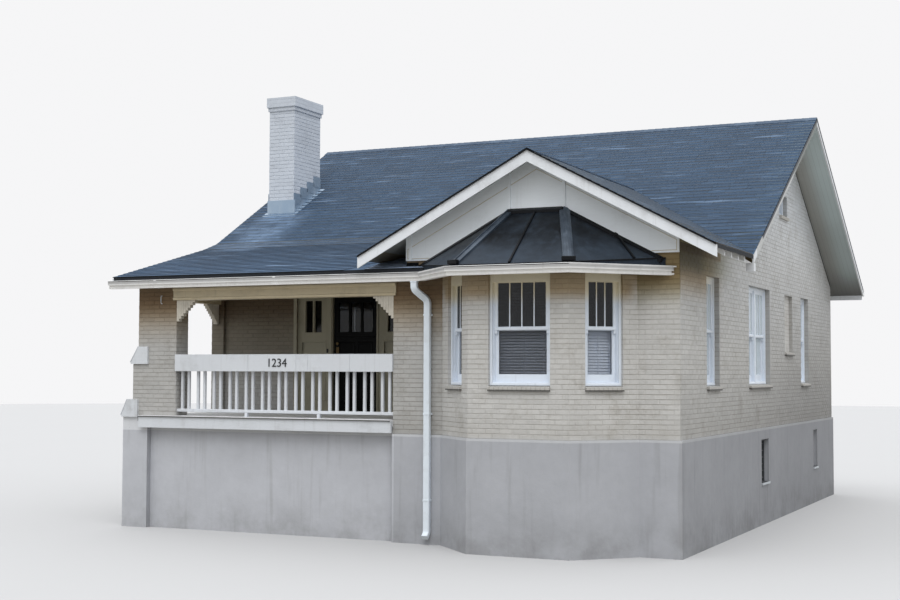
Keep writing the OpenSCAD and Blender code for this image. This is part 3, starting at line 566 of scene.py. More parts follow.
@dataclass(frozen=True)
class PaintedBrick(Finish):
    """Running-bond brick under several coats of paint, with shadowed joints and dirt, and with
    painted shade and painted light laid over it by place.

    Attributes:
        shadow: the colour in the joints.
        contrast: how much bricks differ.
        course, brick: height of a course and length of a brick with their joints, metres.
        joint: width of a joint, metres.
    """
    shadow: Colour
    contrast: float = 0.11
    course: float = 0.071
    brick: float = 0.213
    joint: float = 0.0055

    def paint_shade_and_splash(self, g: Graph, coat: Socket, tone: Socket) -> Socket:
        """Paints shade under the eaves, in the porch, beside the bay, under the wing's eave and
        rake, in the window reveals and down the right side, and painted sky light higher up, then
        splashed dirt at the foot.

        Args:
            g: the material's tree.
            coat: the paint's colour.
            tone: how light it is.

        Returns:
            The changed colour.
        """
        x, y, z = g.house()
        side = x > RIGHT_FACE
        # painted shade over the porch side, deepest on the porch's back wall
        porch = (x < PORCH_SIDE) * (y < 2.4)
        # painted shade on the right wall's top strip under the wing's eave
        eave_strip_shade = side * z.between(2.64, 2.70) * (y < 2.3) * (z < 3.0)
        # painted shade on the wing's front right of the bay, rising under its eave
        front = (x > -1.05) * (y.size() < 0.02)
        drop = z.between(1.62, 2.24)
        # painted shade on the right wall under the wing's rake
        nook = side * y.between(3.4, 1.2) * (z < 3.0) * z.between(2.27, 2.55)
        # painted sky light: bluer and lighter higher up the walls and up the right side
        high = z.between(2.6, 4.4) * 0.6 + side * z.between(0.9, 2.6) * 0.4
        coat = g.tinted(coat, (g.under_eaves(), EAVE_SHADE), (g.deep_eaves(), DEEP_SHADE),
                        (porch * y.between(0.4, 1.6) * z.between(0.7, 1.4), PORCH_SHADE),
                        (eave_strip_shade * 0.9, EAVE_SHADE), (front * drop * drop, BAY_SHADE),
                        (nook, NOOK_SHADE), (high, PAINTED_SKY_LIGHT))
        splash = z.between(0.45, 0.0) * g.noise(2.5, 4.0) * 0.3
        # painted shade high on the right wall near its front corner
        corner = side * y.between(1.6, 0.9) * (z < 2.8) * z.between(2.2, 2.6)
        # painted shade in the window reveals of the right wall
        reveal_shade = (x < -0.004) * (x > -0.26) * (g.facing()[0] < 0.5) * (y > 0.3)
        # painted shade over the porch side, down and low on the right side and at its front corner;
        # painted light high on the right side
        tone = g.toned(tone, (porch, -0.21), (g.right_side_shade(), -0.4), (corner, -0.55),
                       (side * z.between(2.0, 4.0), 0.07), (side * z.between(1.4, 0.2), -0.22),
                       (reveal_shade, -0.24))
        return g.shade(g.blend(splash, coat, self.shadow), tone)

    def build(self) -> Material:
        """Makes the material.

        Returns:
            The material.
        """
        g = self.start()
        run, rise, _ = g.along()
        level = rise - LEDGE + (g.noise(9.0, 2.0) - 0.5) * 0.006
        own, gaps = g.bricks(g.vector(run, level), self.brick, self.course, self.joint, 0.35, 0.5)
        beds = ((level / self.course).fract() - 0.5).size().between(0.38, 0.46)
        beds = beds * g.noise(1.7, 3.0).between(0.25, 0.6)
        joints = (gaps * 0.1).math("MAXIMUM", beds * 0.42)
        tone = (1.0 + (own - 0.5) * self.contrast + (g.noise(0.7, 4.0) - 0.5) * 0.14
                + (g.noise(26.0, 3.0) - 0.5) * 0.18)
        worn = g.noise(3.2, 5.0, 0.7).between(0.5, 0.72) * 0.3
        coat = g.blend(joints, g.blend(worn, self.colour, self.shadow), self.shadow)
        grit = g.bump(g.noise(70.0, 3.0), 0.0015, 0.5)
        relief = g.bump(g.noise(16.0, 3.0), 0.003, 0.6, grit)
        return g.surface(self.paint_shade_and_splash(g, coat, tone), 0.62, relief, specular=0.35)


@dataclass(frozen=True)
class Rowlock(Finish):
    """Bricks laid on edge side by side, painted, as in a sill, with a painted shadow along their
    lower edge.

    Attributes:
        shadow: the colour in the joints.
        pitch: from one brick to the next, metres.
    """
    shadow: Colour
    pitch: float = 0.071

    def build(self) -> Material:
        """Makes the material.

        Returns:
            The material.
        """
        g = self.start()
        _, _, z = g.house()
        joints = ((g.along()[0] / self.pitch).fract() - 0.5).size().between(0.4, 0.47)
        # painted shadow along the lower edges of the sills
        under = (z < 0.705) + (z > 1.2) * (z < 1.295)
        tone = g.toned(1.0 + (g.noise(16.0, 2.0) - 0.5) * 0.2, (under, -0.78))
        colour = g.blend(joints * 0.4, self.colour, self.shadow)
        relief = g.bump(1.0 - joints, 0.005, 0.8, g.bump(g.noise(70.0), 0.0015, 0.5))
        return g.surface(g.shade(colour, tone), 0.62, relief, specular=0.35)


@dataclass(frozen=True)
class Parging(Finish):
    """Painted render over foundation masonry: mottled, stained low down, with a pale ledge, painted
    shade down the right side and lighter under the porch.

    Attributes:
        stain: damp and soil marks.
        ledge: the paler top edge.
    """
    stain: Colour
    ledge: Colour

    def build(self) -> Material:
        """Makes the material.

        Returns:
            The material.
        """
        g = self.start()
        x, _, z = g.house()
        side, _, up = g.facing()
        mottle = 1.0 + (g.noise(1.1, 5.0, 0.62) - 0.5) * 0.30 + (g.noise(8.0, 4.0) - 0.5) * 0.12
        streaks = g.stretched(5.0, 5.0, 0.35, 1.6).between(0.52, 0.8)
        damp = z.between(-0.9, -1.65) * g.noise(1.7, 5.0, 0.65).between(0.3, 0.75)
        colour = g.blend(streaks * 0.30, self.colour, self.stain)
        colour = g.blend(damp * 0.55, colour, self.stain)
        edge = (z > -0.035) * g.noise(30.0).between(0.2, 0.35) + (up > 0.5)
        colour = g.blend(edge.capped() * 0.8, colour, self.ledge)
        # painted shade on the right side's faces and further down the right side; lighter under the
        # porch
        tone = g.toned(mottle, (side > 0.9, -0.24), (g.right_side_shade(), -0.18), (x < -4.5, 0.22))
        relief = g.bump(g.noise(5.0, 5.0, 0.6), 0.010, 0.6, g.bump(g.noise(90.0, 2.0), 0.001, 0.5))
        return g.surface(g.shade(colour, tone), 0.7, relief, specular=0.3)


@dataclass(frozen=True)
class Shingles(Finish):
    """Asphalt shingles in courses above, with a painted shadow and highlight at each butt; painted
    boards below, with painted shade and light; a dark edge between.

    Attributes:
        pale: weathered granules, and the painted highlights on the butts and along the crease below
            the chimney.
        soffit: the paint of the boards below.
        course: exposed height of a course, metres.
        tab: width of a tab, metres.
        board: width of a board, metres.
    """
    pale: Colour
    soffit: Colour
    course: float = 0.142
    tab: float = 0.305
    board: float = 0.09

    def boards(self, g: Graph, run: Socket) -> Socket:
        """The boards under the eaves, with painted shade that darkens them the lower and the deeper
        they lie, and painted light at the outer edge and under the wing's left eave.

        Args:
            g: the material's tree.
            run: the run along the level.

        Returns:
            Their colour.
        """
        x, y, z = g.house()
        seams = ((run / self.board).fract() - 0.5).size().between(0.46, 0.495)
        coat = g.shade(self.soffit, 1.0 - seams * 0.28 + (g.noise(1.4, 3.0) - 0.5) * 0.12)
        coat = g.tinted(coat, (g.under_eaves() * 0.8, EAVE_SHADE))
        # painted shade: darker lower down and further in, lighter towards the right eave's outer
        # edge
        light = 0.30 + z.between(2.6, 3.3) * 0.45 + z.between(3.3, 4.9) * 0.25
        coat = g.shade(coat, light * (0.94 + x.between(0.1, 0.6) * 0.14))
        # painted light near the outer edge of the right eave, low down
        outer = x.between(0.1, 0.45) * z.between(2.65, 3.1)
        # painted warm shade under the wing's right eave
        wing = (x > -0.05) * (y < 2.5)
        # painted light under the wing's left eave
        left = (x < -4.25) * (x > -4.93) * (y < 1.2) * (z > 2.56)
        coat = g.tinted(coat, (outer, OUTER_PAINTED_LIGHT), (wing, EAVE_WARM_SHADE))
        return g.shade(coat, 1.0 + left * 1.3)

    def build(self) -> Material:
        """Makes the material.

        Returns:
            The material.
        """
        g = self.start()
        run, rise, up = g.along()
        x, y, z = g.house()
        _, back, _ = g.facing()
        row = rise / self.course
        jog = g.lot(row)
        own, slots = g.bricks(g.vector(run + jog * 0.22, rise), self.tab, self.course,
                              0.0028, 0.2, 0.3)
        step = row.fract()
        dashes = g.noise(1.0, 3.0, 0.6, g.vector(run * 0.9, rise * 7.0, jog * 9.0))
        grains = g.noise(260.0, 2.0, 0.7)
        # painted shadow below each butt and painted highlight on it
        tone = (0.94 + (own - 0.5) * 0.26 + (grains - 0.5) * 0.35 - step.between(0.80, 0.97) * 0.34
                + step.between(0.14, 0.0) * 0.16 + (g.noise(0.45, 4.0) - 0.5) * 0.24)
        tone = g.toned(tone, (z.between(3.1, 2.6), 0.3))
        # painted highlight along the crease below the chimney
        chimney_crease_highlight = ((x + 8.94).size().between(0.75, 0.15) * (y < 4.15) * (y > 2.15)
                * g.noise(2.6, 4.0).between(0.2, 0.7))
        # pale dashes: weathered granules and painted highlights on the butts
        top = g.blend(dashes.between(0.56, 0.74) * 0.5, self.colour, self.pale)
        top = g.blend(chimney_crease_highlight * 0.45, top, self.pale)
        top = g.shade(g.blend(slots * 0.7, top, SLOT_DARK), tone)
        valley = (back < -0.7) * (x > 0.0) * (y > 1.5)
        edge = (up > -0.3) * (back < 0.3) * (1.0 - valley)
        colour = g.blend(up > 0.3, g.blend(edge, self.boards(g, run), EDGE_DARK), top)
        height = ((1.0 - step) * 0.8 + own * 0.2 - slots * 0.5) * (up > 0.3)
        relief = g.bump(height, 0.007, 0.9, g.bump(grains, 0.0015, 0.5))
        return g.surface(colour, 0.82 - (up < -0.3) * 0.25, relief, specular=0.3)


@dataclass(frozen=True)
class SheetMetal(Finish):
    """Painted or galvanised roofing metal with oil-canning and a worn sheen.

    Attributes:
        pale: chalked places, and the painted highlight near the bay's eave.
        rough: its roughness.
        metal: how metallic it looks.
        foot: how strong the painted highlight near the bay's eave is.
        gloss: level of its reflection.
    """
    pale: Colour
    rough: float = 0.32
    metal: float = 0.35
    foot: float = 0.0
    gloss: float = 0.5

    def build(self) -> Material:
        """Makes the material.

        Returns:
            The material.
        """
        g = self.start()
        clouds = g.noise(2.2, 5.0, 0.65).between(0.35, 0.8) * 0.3
        streaks = g.stretched(3.0, 3.0, 0.6, 3.0).between(0.45, 0.8)
        # painted highlight towards the bay's eave
        foot = g.house()[2].between(2.95, 2.55) * self.foot
        colour = g.blend((clouds + streaks * 0.2 + foot).capped(), self.colour, self.pale)
        dust = g.noise(60.0, 3.0, 0.7)
        rough = self.rough + (dust - 0.5) * 0.22 + streaks * 0.12
        relief = g.bump(g.noise(1.6, 2.0), 0.012, 0.35, g.bump(dust, 0.0006, 0.4))
        return g.surface(g.shade(colour, 0.92 + dust * 0.16), rough, relief, metal=self.metal,
                         specular=self.gloss)


@dataclass(frozen=True)
class PaintedWood(Finish):
    """Brushed paint on boards, with faint grain, soiling, specks and drips.

    Attributes:
        soil: grime in it.
        rough: its roughness.
        dirt: how strongly grime shows.
        eaves: how strongly it takes the painted warm shade under the eaves.
        gloss: level of its reflection.
        verge: whether it is a rake board, with painted shade on the front slope and dark at its
            top.
    """
    soil: Colour
    rough: float = 0.48
    dirt: float = 0.3
    eaves: float = 0.0
    gloss: float = 0.4
    verge: bool = False

    def rake(self, g: Graph, colour: Socket) -> Socket:
        """Paints shade on the rake boards of the front slope and darkens their upper edges.

        Args:
            g: the material's tree.
            colour: the paint's colour.

        Returns:
            The changed colour.
        """
        _, y, z = g.house()
        crest = SIZES.ridge_y * MM
        line = SIZES.ridge_z * MM - (y - crest).size() * SIZES.roof_slope
        # painted shade: the wall's grey low on the front slope, the soffit's darker grey higher up
        shaded = g.blend(z.between(4.2, 4.5), paint(190, 192, 193), paint(122, 127, 124))
        colour = g.blend((y < crest - 0.02) * (y > 2.0), colour, shaded)
        top = (line - z).between(0.085, 0.065) * (y > 2.4)
        return g.blend(top, colour, paint(38, 44, 54))

    def build(self) -> Material:
        """Makes the material.

        Returns:
            The material.
        """
        g = self.start()
        grain = g.stretched(2.0, 26.0, 26.0, 2.0, 4.0)
        grime = g.noise(2.1, 5.0, 0.7).between(0.48, 0.8) * self.dirt
        specks = g.noise(34.0, 3.0, 0.7).between(0.63, 0.75) * self.dirt * 0.6
        drips = g.stretched(14.0, 14.0, 0.8, 1.0).between(0.56, 0.8) * self.dirt * 0.7
        colour = g.blend((grime + specks + drips).capped(), self.colour, self.soil)
        colour = g.shade(colour, 0.97 + (grain - 0.5) * 0.07 + (g.noise(0.8, 3.0) - 0.5) * 0.07)
        if self.eaves:
            # painted warm shade under the eaves
            colour = g.tinted(colour, (g.under_eaves() * self.eaves, EAVE_WARM_SHADE))
        if self.verge:
            colour = self.rake(g, colour)
        relief = g.bump(grain, 0.0012, 0.5, g.bump(g.noise(120.0, 2.0), 0.0004, 0.5))
        return g.surface(colour, self.rough + grime * 0.3, relief, specular=self.gloss)


@dataclass(frozen=True)
class SmoothPaint(Finish):
    """Factory enamel on formed metal, such as gutters, with rain streaks.

    Attributes:
        soil: streaks and dust.
        rough: its roughness.
        lipped: whether it is the gutter's, which is shaded under its rolled lip.
        lip_z: height of the lip, metres.
    """
    soil: Colour
    rough: float = 0.3
    # lipped: whether it is the gutter's, with painted shade under its rolled lip and painted light
    # lower down its face.
    lipped: bool = False
    lip_z: float = 2.450

    def build(self) -> Material:
        """Makes the material.

        Returns:
            The material.
        """
        g = self.start()
        streaks = g.stretched(18.0, 18.0, 1.2, 1.0, 4.0).between(0.5, 0.8) * 0.14
        dust = g.noise(3.0, 5.0, 0.7).between(0.45, 0.8) * 0.2
        colour = g.blend((streaks + dust).capped(), self.colour, self.soil)
        if self.lipped:
            down = self.lip_z - g.house()[2]
            # painted shade under the rolled lip, painted light lower down the face
            band = down.between(0.011, 0.017) * down.between(0.072, 0.030)
            colour = g.shade(colour, 1.0 - band * 0.5 + down.between(0.060, 0.070) * 0.15)
        return g.surface(colour, self.rough + dust * 0.5, g.bump(g.noise(2.4, 3.0), 0.004, 0.4))


@dataclass(frozen=True)
class WindowGlass(Finish):
    """Old window glass: faint ripple, patches of dust and a cool tint.

    Attributes:
        alpha: how much light it stops.
        upper: how much the upper sash stops, more than below to paint a dark reflection there.
    """
    alpha: float = 0.6
    upper: float = 0.6

    def build(self) -> Material:
        """Makes the material.

        Returns:
            The material.
        """
        g = self.start()
        dust = g.noise(5.0, 5.0, 0.7).between(0.5, 0.85)
        above = g.house()[2] > MEETING_RAIL
        # painted shade: the lower panes that face the front are more opaque in the dark glass
        # colour
        shaded = (g.facing()[1] < -0.95) * (1.0 - above) * 0.36
        alpha = above * (self.upper - self.alpha) + self.alpha + shaded
        return g.surface(g.blend(dust * 0.12, self.colour, DUST), 0.04 + dust * 0.10,
                         g.bump(g.noise(3.5, 1.0), 0.004, 0.25), alpha=alpha, specular=0.4)


@dataclass(frozen=True)
class Lumber(Finish):
    """Bare floor boards.

    Attributes:
        dark: their grain and gaps.
        board: width of a board, metres.
    """
    dark: Colour
    board: float = 0.085

    def build(self) -> Material:
        """Makes the material.

        Returns:
            The material.
        """
        g = self.start()
        x, y, _ = g.split(g.spot())
        number = x / self.board
        lot = g.lot(number)
        gap = (number.fract() - 0.5).size().between(0.47, 0.495)
        grain = g.noise(1.0, 5.0, 0.65, g.vector(x * 60.0, y * 3.0, lot * 7.0))
        colour = g.blend(grain.between(0.4, 0.7) * 0.5, self.colour, self.dark)
        colour = g.shade(g.blend(gap, colour, self.dark), 0.86 + lot * 0.28)
        return g.surface(colour, 0.5, g.bump(1.0 - gap, 0.003, 0.8))


@dataclass(frozen=True)
class Mineral(Finish):
    """Concrete, mortar, clay or felt: a rough mineral face with worn patches.

    Attributes:
        worn: the weathered face.
        edged: whether it is the porch floor's, with a painted shadow along the foot of its front
            edge.
        rough: its roughness.
        grit: depth of its grain, metres.
    """
    worn: Colour
    edged: bool = False
    rough: float = 0.75
    grit: float = 0.002

    def build(self) -> Material:
        """Makes the material.

        Returns:
            The material.
        """
        g = self.start()
        patch = g.noise(2.4, 6.0, 0.7).between(0.38, 0.72)
        specks = g.noise(45.0, 3.0, 0.7)
        colour = g.shade(g.blend(patch * 0.6, self.colour, self.worn), 0.86 + specks * 0.28)
        if self.edged:
            # painted shadow along the foot of the floor's front edge
            low = g.house()[2].between(0.210, 0.204) * (g.facing()[1] < -0.9)
            colour = g.shade(colour, 1.0 - low * 0.88)
        relief = g.bump(specks, self.grit, 0.7, g.bump(g.noise(6.0, 4.0), self.grit * 2, 0.5))
        return g.surface(colour, self.rough, relief, specular=0.3)


@dataclass(frozen=True)
class Louvre(Finish):
    """Vent blades painted dark as their shade, above a sill of the main colour.

    Attributes:
        shade: the blades' colour, painted dark as their shade.
        sill_top: height of the sill's top, metres.
    """
    shade: Colour
    sill_top: float = -0.93

    def build(self) -> Material:
        """Makes the material.

        Returns:
            The material.
        """
        g = self.start()
        dirt = g.noise(14.0, 4.0, 0.7)
        # blades painted dark as their shade, the sill in the main colour
        colour = g.blend(g.house()[2] > self.sill_top, self.colour, self.shade)
        return g.surface(g.shade(colour, 0.8 + dirt * 0.35), 0.6, g.bump(dirt, 0.001, 0.5))


class Bench:
    """Modelling by hand: blocks and sheets are added at size, then cut, folded and bevelled."""

    def rest(self) -> None:
        """Leaves edit mode and deselects everything."""
        if bpy.context.mode != "OBJECT":
            bpy.ops.object.mode_set(mode="OBJECT")
        bpy.ops.object.select_all(action="DESELECT")

    def take(self, piece: Piece) -> None:
        """Makes a piece the only one that is selected.

        Args:
            piece: the piece.
        """
        self.rest()
        piece.select_set(True)
        bpy.context.view_layer.objects.active = piece

    def settle(self) -> Piece:
        """The new primitive, once its place is in its mesh."""
        bpy.ops.object.transform_apply(location=True, rotation=True, scale=True)
        return bpy.context.object

    def block(self, low: Iterable[float], high: Iterable[float], bevel: float = 0.0,
              segments: int = 1, test: Optional[Test] = None) -> Piece:
        """Adds a block between two corners.

        Args:
            low, high: corners in metres.
            bevel, segments, test: how its edges are rounded, see bevel.

        Returns:
            The block.
        """
        low, high = Vector(low), Vector(high)
        self.rest()
        bpy.ops.mesh.primitive_cube_add(size=1, location=(low + high) / 2, scale=high - low)
        return self.bevel(self.settle(), bevel, segments, test)

    def stud(self, radius: float, length: float, sides: int, bevel: float, segments: int,
             change: Matrix) -> Piece:
        """Adds a short round rod, rounded at its top.

        Args:
            radius, length: metres.
            sides: how many flats it has.
            bevel, segments: how its top edge is rounded.
            change: where it goes; it first stands on the origin along z.

        Returns:
            The rod.
        """
        self.rest()
        bpy.ops.mesh.primitive_cylinder_add(vertices=sides, radius=radius, depth=length,
                                            location=(0, 0, length / 2))
        piece = self.settle()
        self.bevel(piece, bevel, segments, lambda a, b: min(a.z, b.z) > length - MM)
        return self.move(piece, change)

    def sheet(self, corners: Sequence[Iterable[float]], rows: int) -> Piece:
        """Adds a flat or warped sheet over four corners.

        Args:
            corners: lower left, lower right, upper right and upper left.
            rows: how many strips it has from bottom to top.

        Returns:
            The sheet.
        """
        a, b, c, d = (Vector(p) for p in corners)
        self.rest()
        bpy.ops.mesh.primitive_grid_add(x_subdivisions=1, y_subdivisions=rows, size=2)
        piece = bpy.context.object
        for v in piece.data.vertices:
            s, t = (v.co.x + 1) / 2, (v.co.y + 1) / 2
            v.co = a.lerp(b, s).lerp(d.lerp(c, s), t)
        return piece

    def faces(self, piece: Piece, test: Test) -> None:
        """Goes into edit mode with some of a piece's faces.

        Args:
            piece: the piece.
            test: picks them from their middle and normal.
        """
        self.take(piece)
        bpy.ops.object.mode_set(mode="EDIT")
        bpy.ops.mesh.select_mode(type="FACE")
        mesh = bmesh.from_edit_mesh(piece.data)
        for face in mesh.faces:
            face.select_set(test(face.calc_center_median(), face.normal))
        bmesh.update_edit_mesh(piece.data)

    def edges(self, piece: Piece, test: Test) -> None:
        """Goes into edit mode with some of a piece's edges.

        Args:
            piece: the piece.
            test: picks them from their two ends.
        """
        self.take(piece)
        bpy.ops.object.mode_set(mode="EDIT")
        bpy.ops.mesh.select_mode(type="EDGE")
        mesh = bmesh.from_edit_mesh(piece.data)
        for edge in mesh.edges:
            edge.select_set(test(edge.verts[0].co, edge.verts[1].co))
        bmesh.update_edit_mesh(piece.data)

    def bevel(self, piece: Piece, width: float, segments: int = 1,
              test: Optional[Test] = None) -> Piece:
        """Rounds edges.

        Args:
            piece: the piece to work on.
            width: metres, or 0 to leave them.
            segments: how many facets the rounding has.
            test: picks the edges from their two ends, or None for all.

        Returns:
            The same piece.
        """
        if width:
            self.edges(piece, test or (lambda a, b: True))
            bpy.ops.mesh.bevel(offset=width, segments=segments, affect="EDGES")
            self.rest()
        return piece

    def pierce(self, piece: Piece, rim: float, axis: int) -> Piece:
        """Insets two opposite faces and joins them into a hole.

        Args:
            piece: the piece to work on.
            rim: width left around the hole, metres.
            axis: number of the axis that the hole runs along.

        Returns:
            The same piece.
        """
        self.faces(piece, lambda c, n: abs(n[axis]) > 0.9)
        bpy.ops.mesh.inset(thickness=rim, use_individual=True)
        bpy.ops.mesh.bridge_edge_loops()
        self.rest()
        return piece

    def ring(self, low: Iterable[float], high: Iterable[float], rim: float, bevel: float,
             segments: int = 1, out: int = 1) -> Piece:
        """Adds a frame in the x-z plane, rounded on its outer face.

        Args:
            low, high: its outer corners.
            rim: width of its members, metres.
            bevel, segments: how its edges are rounded.
            out: 1 where its outer face looks along y, else -1.

        Returns:
            The frame.
        """
        piece = self.pierce(self.block(low, high), rim, 1)
        face = (high if out > 0 else low)[1] * out - MM
        return self.bevel(piece, bevel, segments, lambda a, b: min(a.y * out, b.y * out) > face)

    def cut(self, piece: Piece, at: Vector, away: Vector, fill: bool = False) -> Piece:
        """Cuts off what lies beyond a plane.

        Args:
            piece: the piece to work on.
            at: a point on the plane.
            away: direction of the side that goes.
            fill: closes the cut.

        Returns:
            The same piece.
        """
        self.faces(piece, lambda c, n: True)
        bpy.ops.mesh.bisect(plane_co=at, plane_no=away, clear_outer=True, use_fill=fill)
        self.rest()
        return piece

    def apply(self, piece: Piece, kind: str, **settings: object) -> None:
        """Puts a modifier on a piece and applies it.

        Args:
            piece: the piece.
            kind: the modifier's type.
            settings: its properties.
        """
        self.take(piece)
        modifier = piece.modifiers.new("step", kind)
        for key, value in settings.items():
            setattr(modifier, key, value)
        bpy.ops.object.modifier_apply(modifier=modifier.name)

    def thicken(self, piece: Piece, depth: float) -> None:
        """Gives a sheet its thickness, below its face."""
        self.apply(piece, "SOLIDIFY", thickness=depth, offset=-1)

    def array(self, piece: Piece, count: int, step: Point) -> None:
        """Repeats a piece so many times in all, at even steps in metres."""
        self.apply(piece, "ARRAY", count=count, use_relative_offset=False,
                   use_constant_offset=True, constant_offset_displace=step)

    def smooth(self, piece: Piece, angle: float) -> None:
        """Shades a piece smooth up to an angle in degrees."""
        self.take(piece)
        bpy.ops.object.shade_smooth_by_angle(angle=math.radians(angle))

    def move(self, piece: Piece, change: Matrix) -> Piece:
        """Moves a piece's mesh, and turns its faces out again after a mirror.

        Args:
            piece: the piece.
            change: where its points go.

        Returns:
            The same piece.
        """
        piece.data.transform(change)
        if change.to_3x3().determinant() < 0:
            piece.data.flip_normals()
        piece.data.update()
        return piece

    def copy(self, piece: Piece, change: Matrix) -> Piece:
        """Copies a piece with a mesh of its own, and moves the copy.

        Args:
            piece: the piece.
            change: where the copy's points go.

        Returns:
            The copy.
        """
        twin = piece.copy()
        twin.data = piece.data.copy()
        bpy.context.scene.collection.objects.link(twin)
        return self.move(twin, change)

    def bar(self, start: Vector, end: Vector, width: float, height: float, up: Vector,
            bevel: float) -> Piece:
        """Adds a bar that lies on a line, with its underside on it.

        Args:
            start, end: ends of the line.
            width: metres across.
            height: metres above the line.
            up: the direction that its top faces.
            bevel: rounding of its upper edges.

        Returns:
            The bar.
        """
        run = end - start
        x = run.normalized()
        y = up.cross(x).normalized()
        piece = self.block((0, -width / 2, 0), (run.length, width / 2, height), bevel, 2,
                           lambda a, b: min(a.z, b.z) > height / 2)
        return self.move(piece, axes(x, y, x.cross(y), start))

    def strip(self, points: Sequence[Vector], profile: Sequence[Pair],
              up: Vector = UP) -> Piece:
        """Pulls a closed profile along a path, mitred at its corners.

        Args:
            points: the path.
            profile: points across and above the path, counter-clockwise seen along it.
            up: the direction above.

        Returns:
            The moulding, closed at both ends.
        """
        rings = []
        for i, point in enumerate(points):
            back = (point - points[i - 1]).normalized() if i else None
            ahead = (points[i + 1] - point).normalized() if i + 1 < len(points) else None
            run = ((back or ahead) + (ahead or back)).normalized()
            side = run.cross(up).normalized()
            stretch = 1 / max(0.3, run.dot(back or ahead))
            rise = side.cross(run).normalized()
            rings.append([point + side * (a * stretch) + rise * b for a, b in profile])
        n = len(profile)
        last = (len(rings) - 1) * n
        sides = [(i + k, i + (k + 1) % n, i + n + (k + 1) % n, i + n + k)
                 for i in range(0, last, n) for k in range(n)]
        ends = [tuple(range(n))[::-1], tuple(range(last, last + n))]
        mesh = bpy.data.meshes.new("strip")
        mesh.from_pydata([p for ring in rings for p in ring], [], sides + ends)
        piece = bpy.data.objects.new("strip", mesh)
        bpy.context.scene.collection.objects.link(piece)
        return self.outward(piece)

    def outward(self, piece: Piece) -> Piece:
        """Merges a piece's doubles and turns its faces out.

        Args:
            piece: the piece.

        Returns:
            The same piece.
        """
        self.faces(piece, lambda c, n: True)
        bpy.ops.mesh.remove_doubles(threshold=0.00001)
        bpy.ops.mesh.normals_make_consistent(inside=False)
        self.rest()
        return piece

    def join(self, pieces: Sequence[Piece]) -> Piece:
        """Joins pieces into the first of them.

        Args:
            pieces: the pieces, in order.

        Returns:
            The first piece.
        """
        self.rest()
        for piece in pieces:
            piece.select_set(True)
        bpy.context.view_layer.objects.active = pieces[0]
        if len(pieces) > 1:
            bpy.ops.object.join()
        return pieces[0]


BENCH = Bench()


def wall_frame(side: Side) -> Matrix:
    """Where a wall's own axes lie: x along it, y out of it and z up, in metres.

    Args:
        side: the wall.

    Returns:
        The change from the wall's axes to the part's frame.
    """
    half, deep, lean = SIZES.bay_half, SIZES.bay_depth, math.sqrt(0.5)
    along, out, start = {
        Side.RIGHT: ((0, 1), (1, 0), (0, 0)),
        Side.LEFT: ((0, 1), (-1, 0), (SIZES.left, 0)),
        Side.REAR: ((1, 0), (0, 1), (0, SIZES.depth)),
        Side.BAY_LEFT: ((lean, -lean), (-lean, -lean), (SIZES.wing_mid - half - deep, 0)),
        Side.BAY_FRONT: ((1, 0), (0, -1), (SIZES.wing_mid - half, -deep)),
        Side.BAY_RIGHT: ((lean, lean), (lean, -lean), (SIZES.wing_mid + half, -deep)),
    }[side]
    return axes((*along, 0), (*out, 0), UP, place(*start, 0))


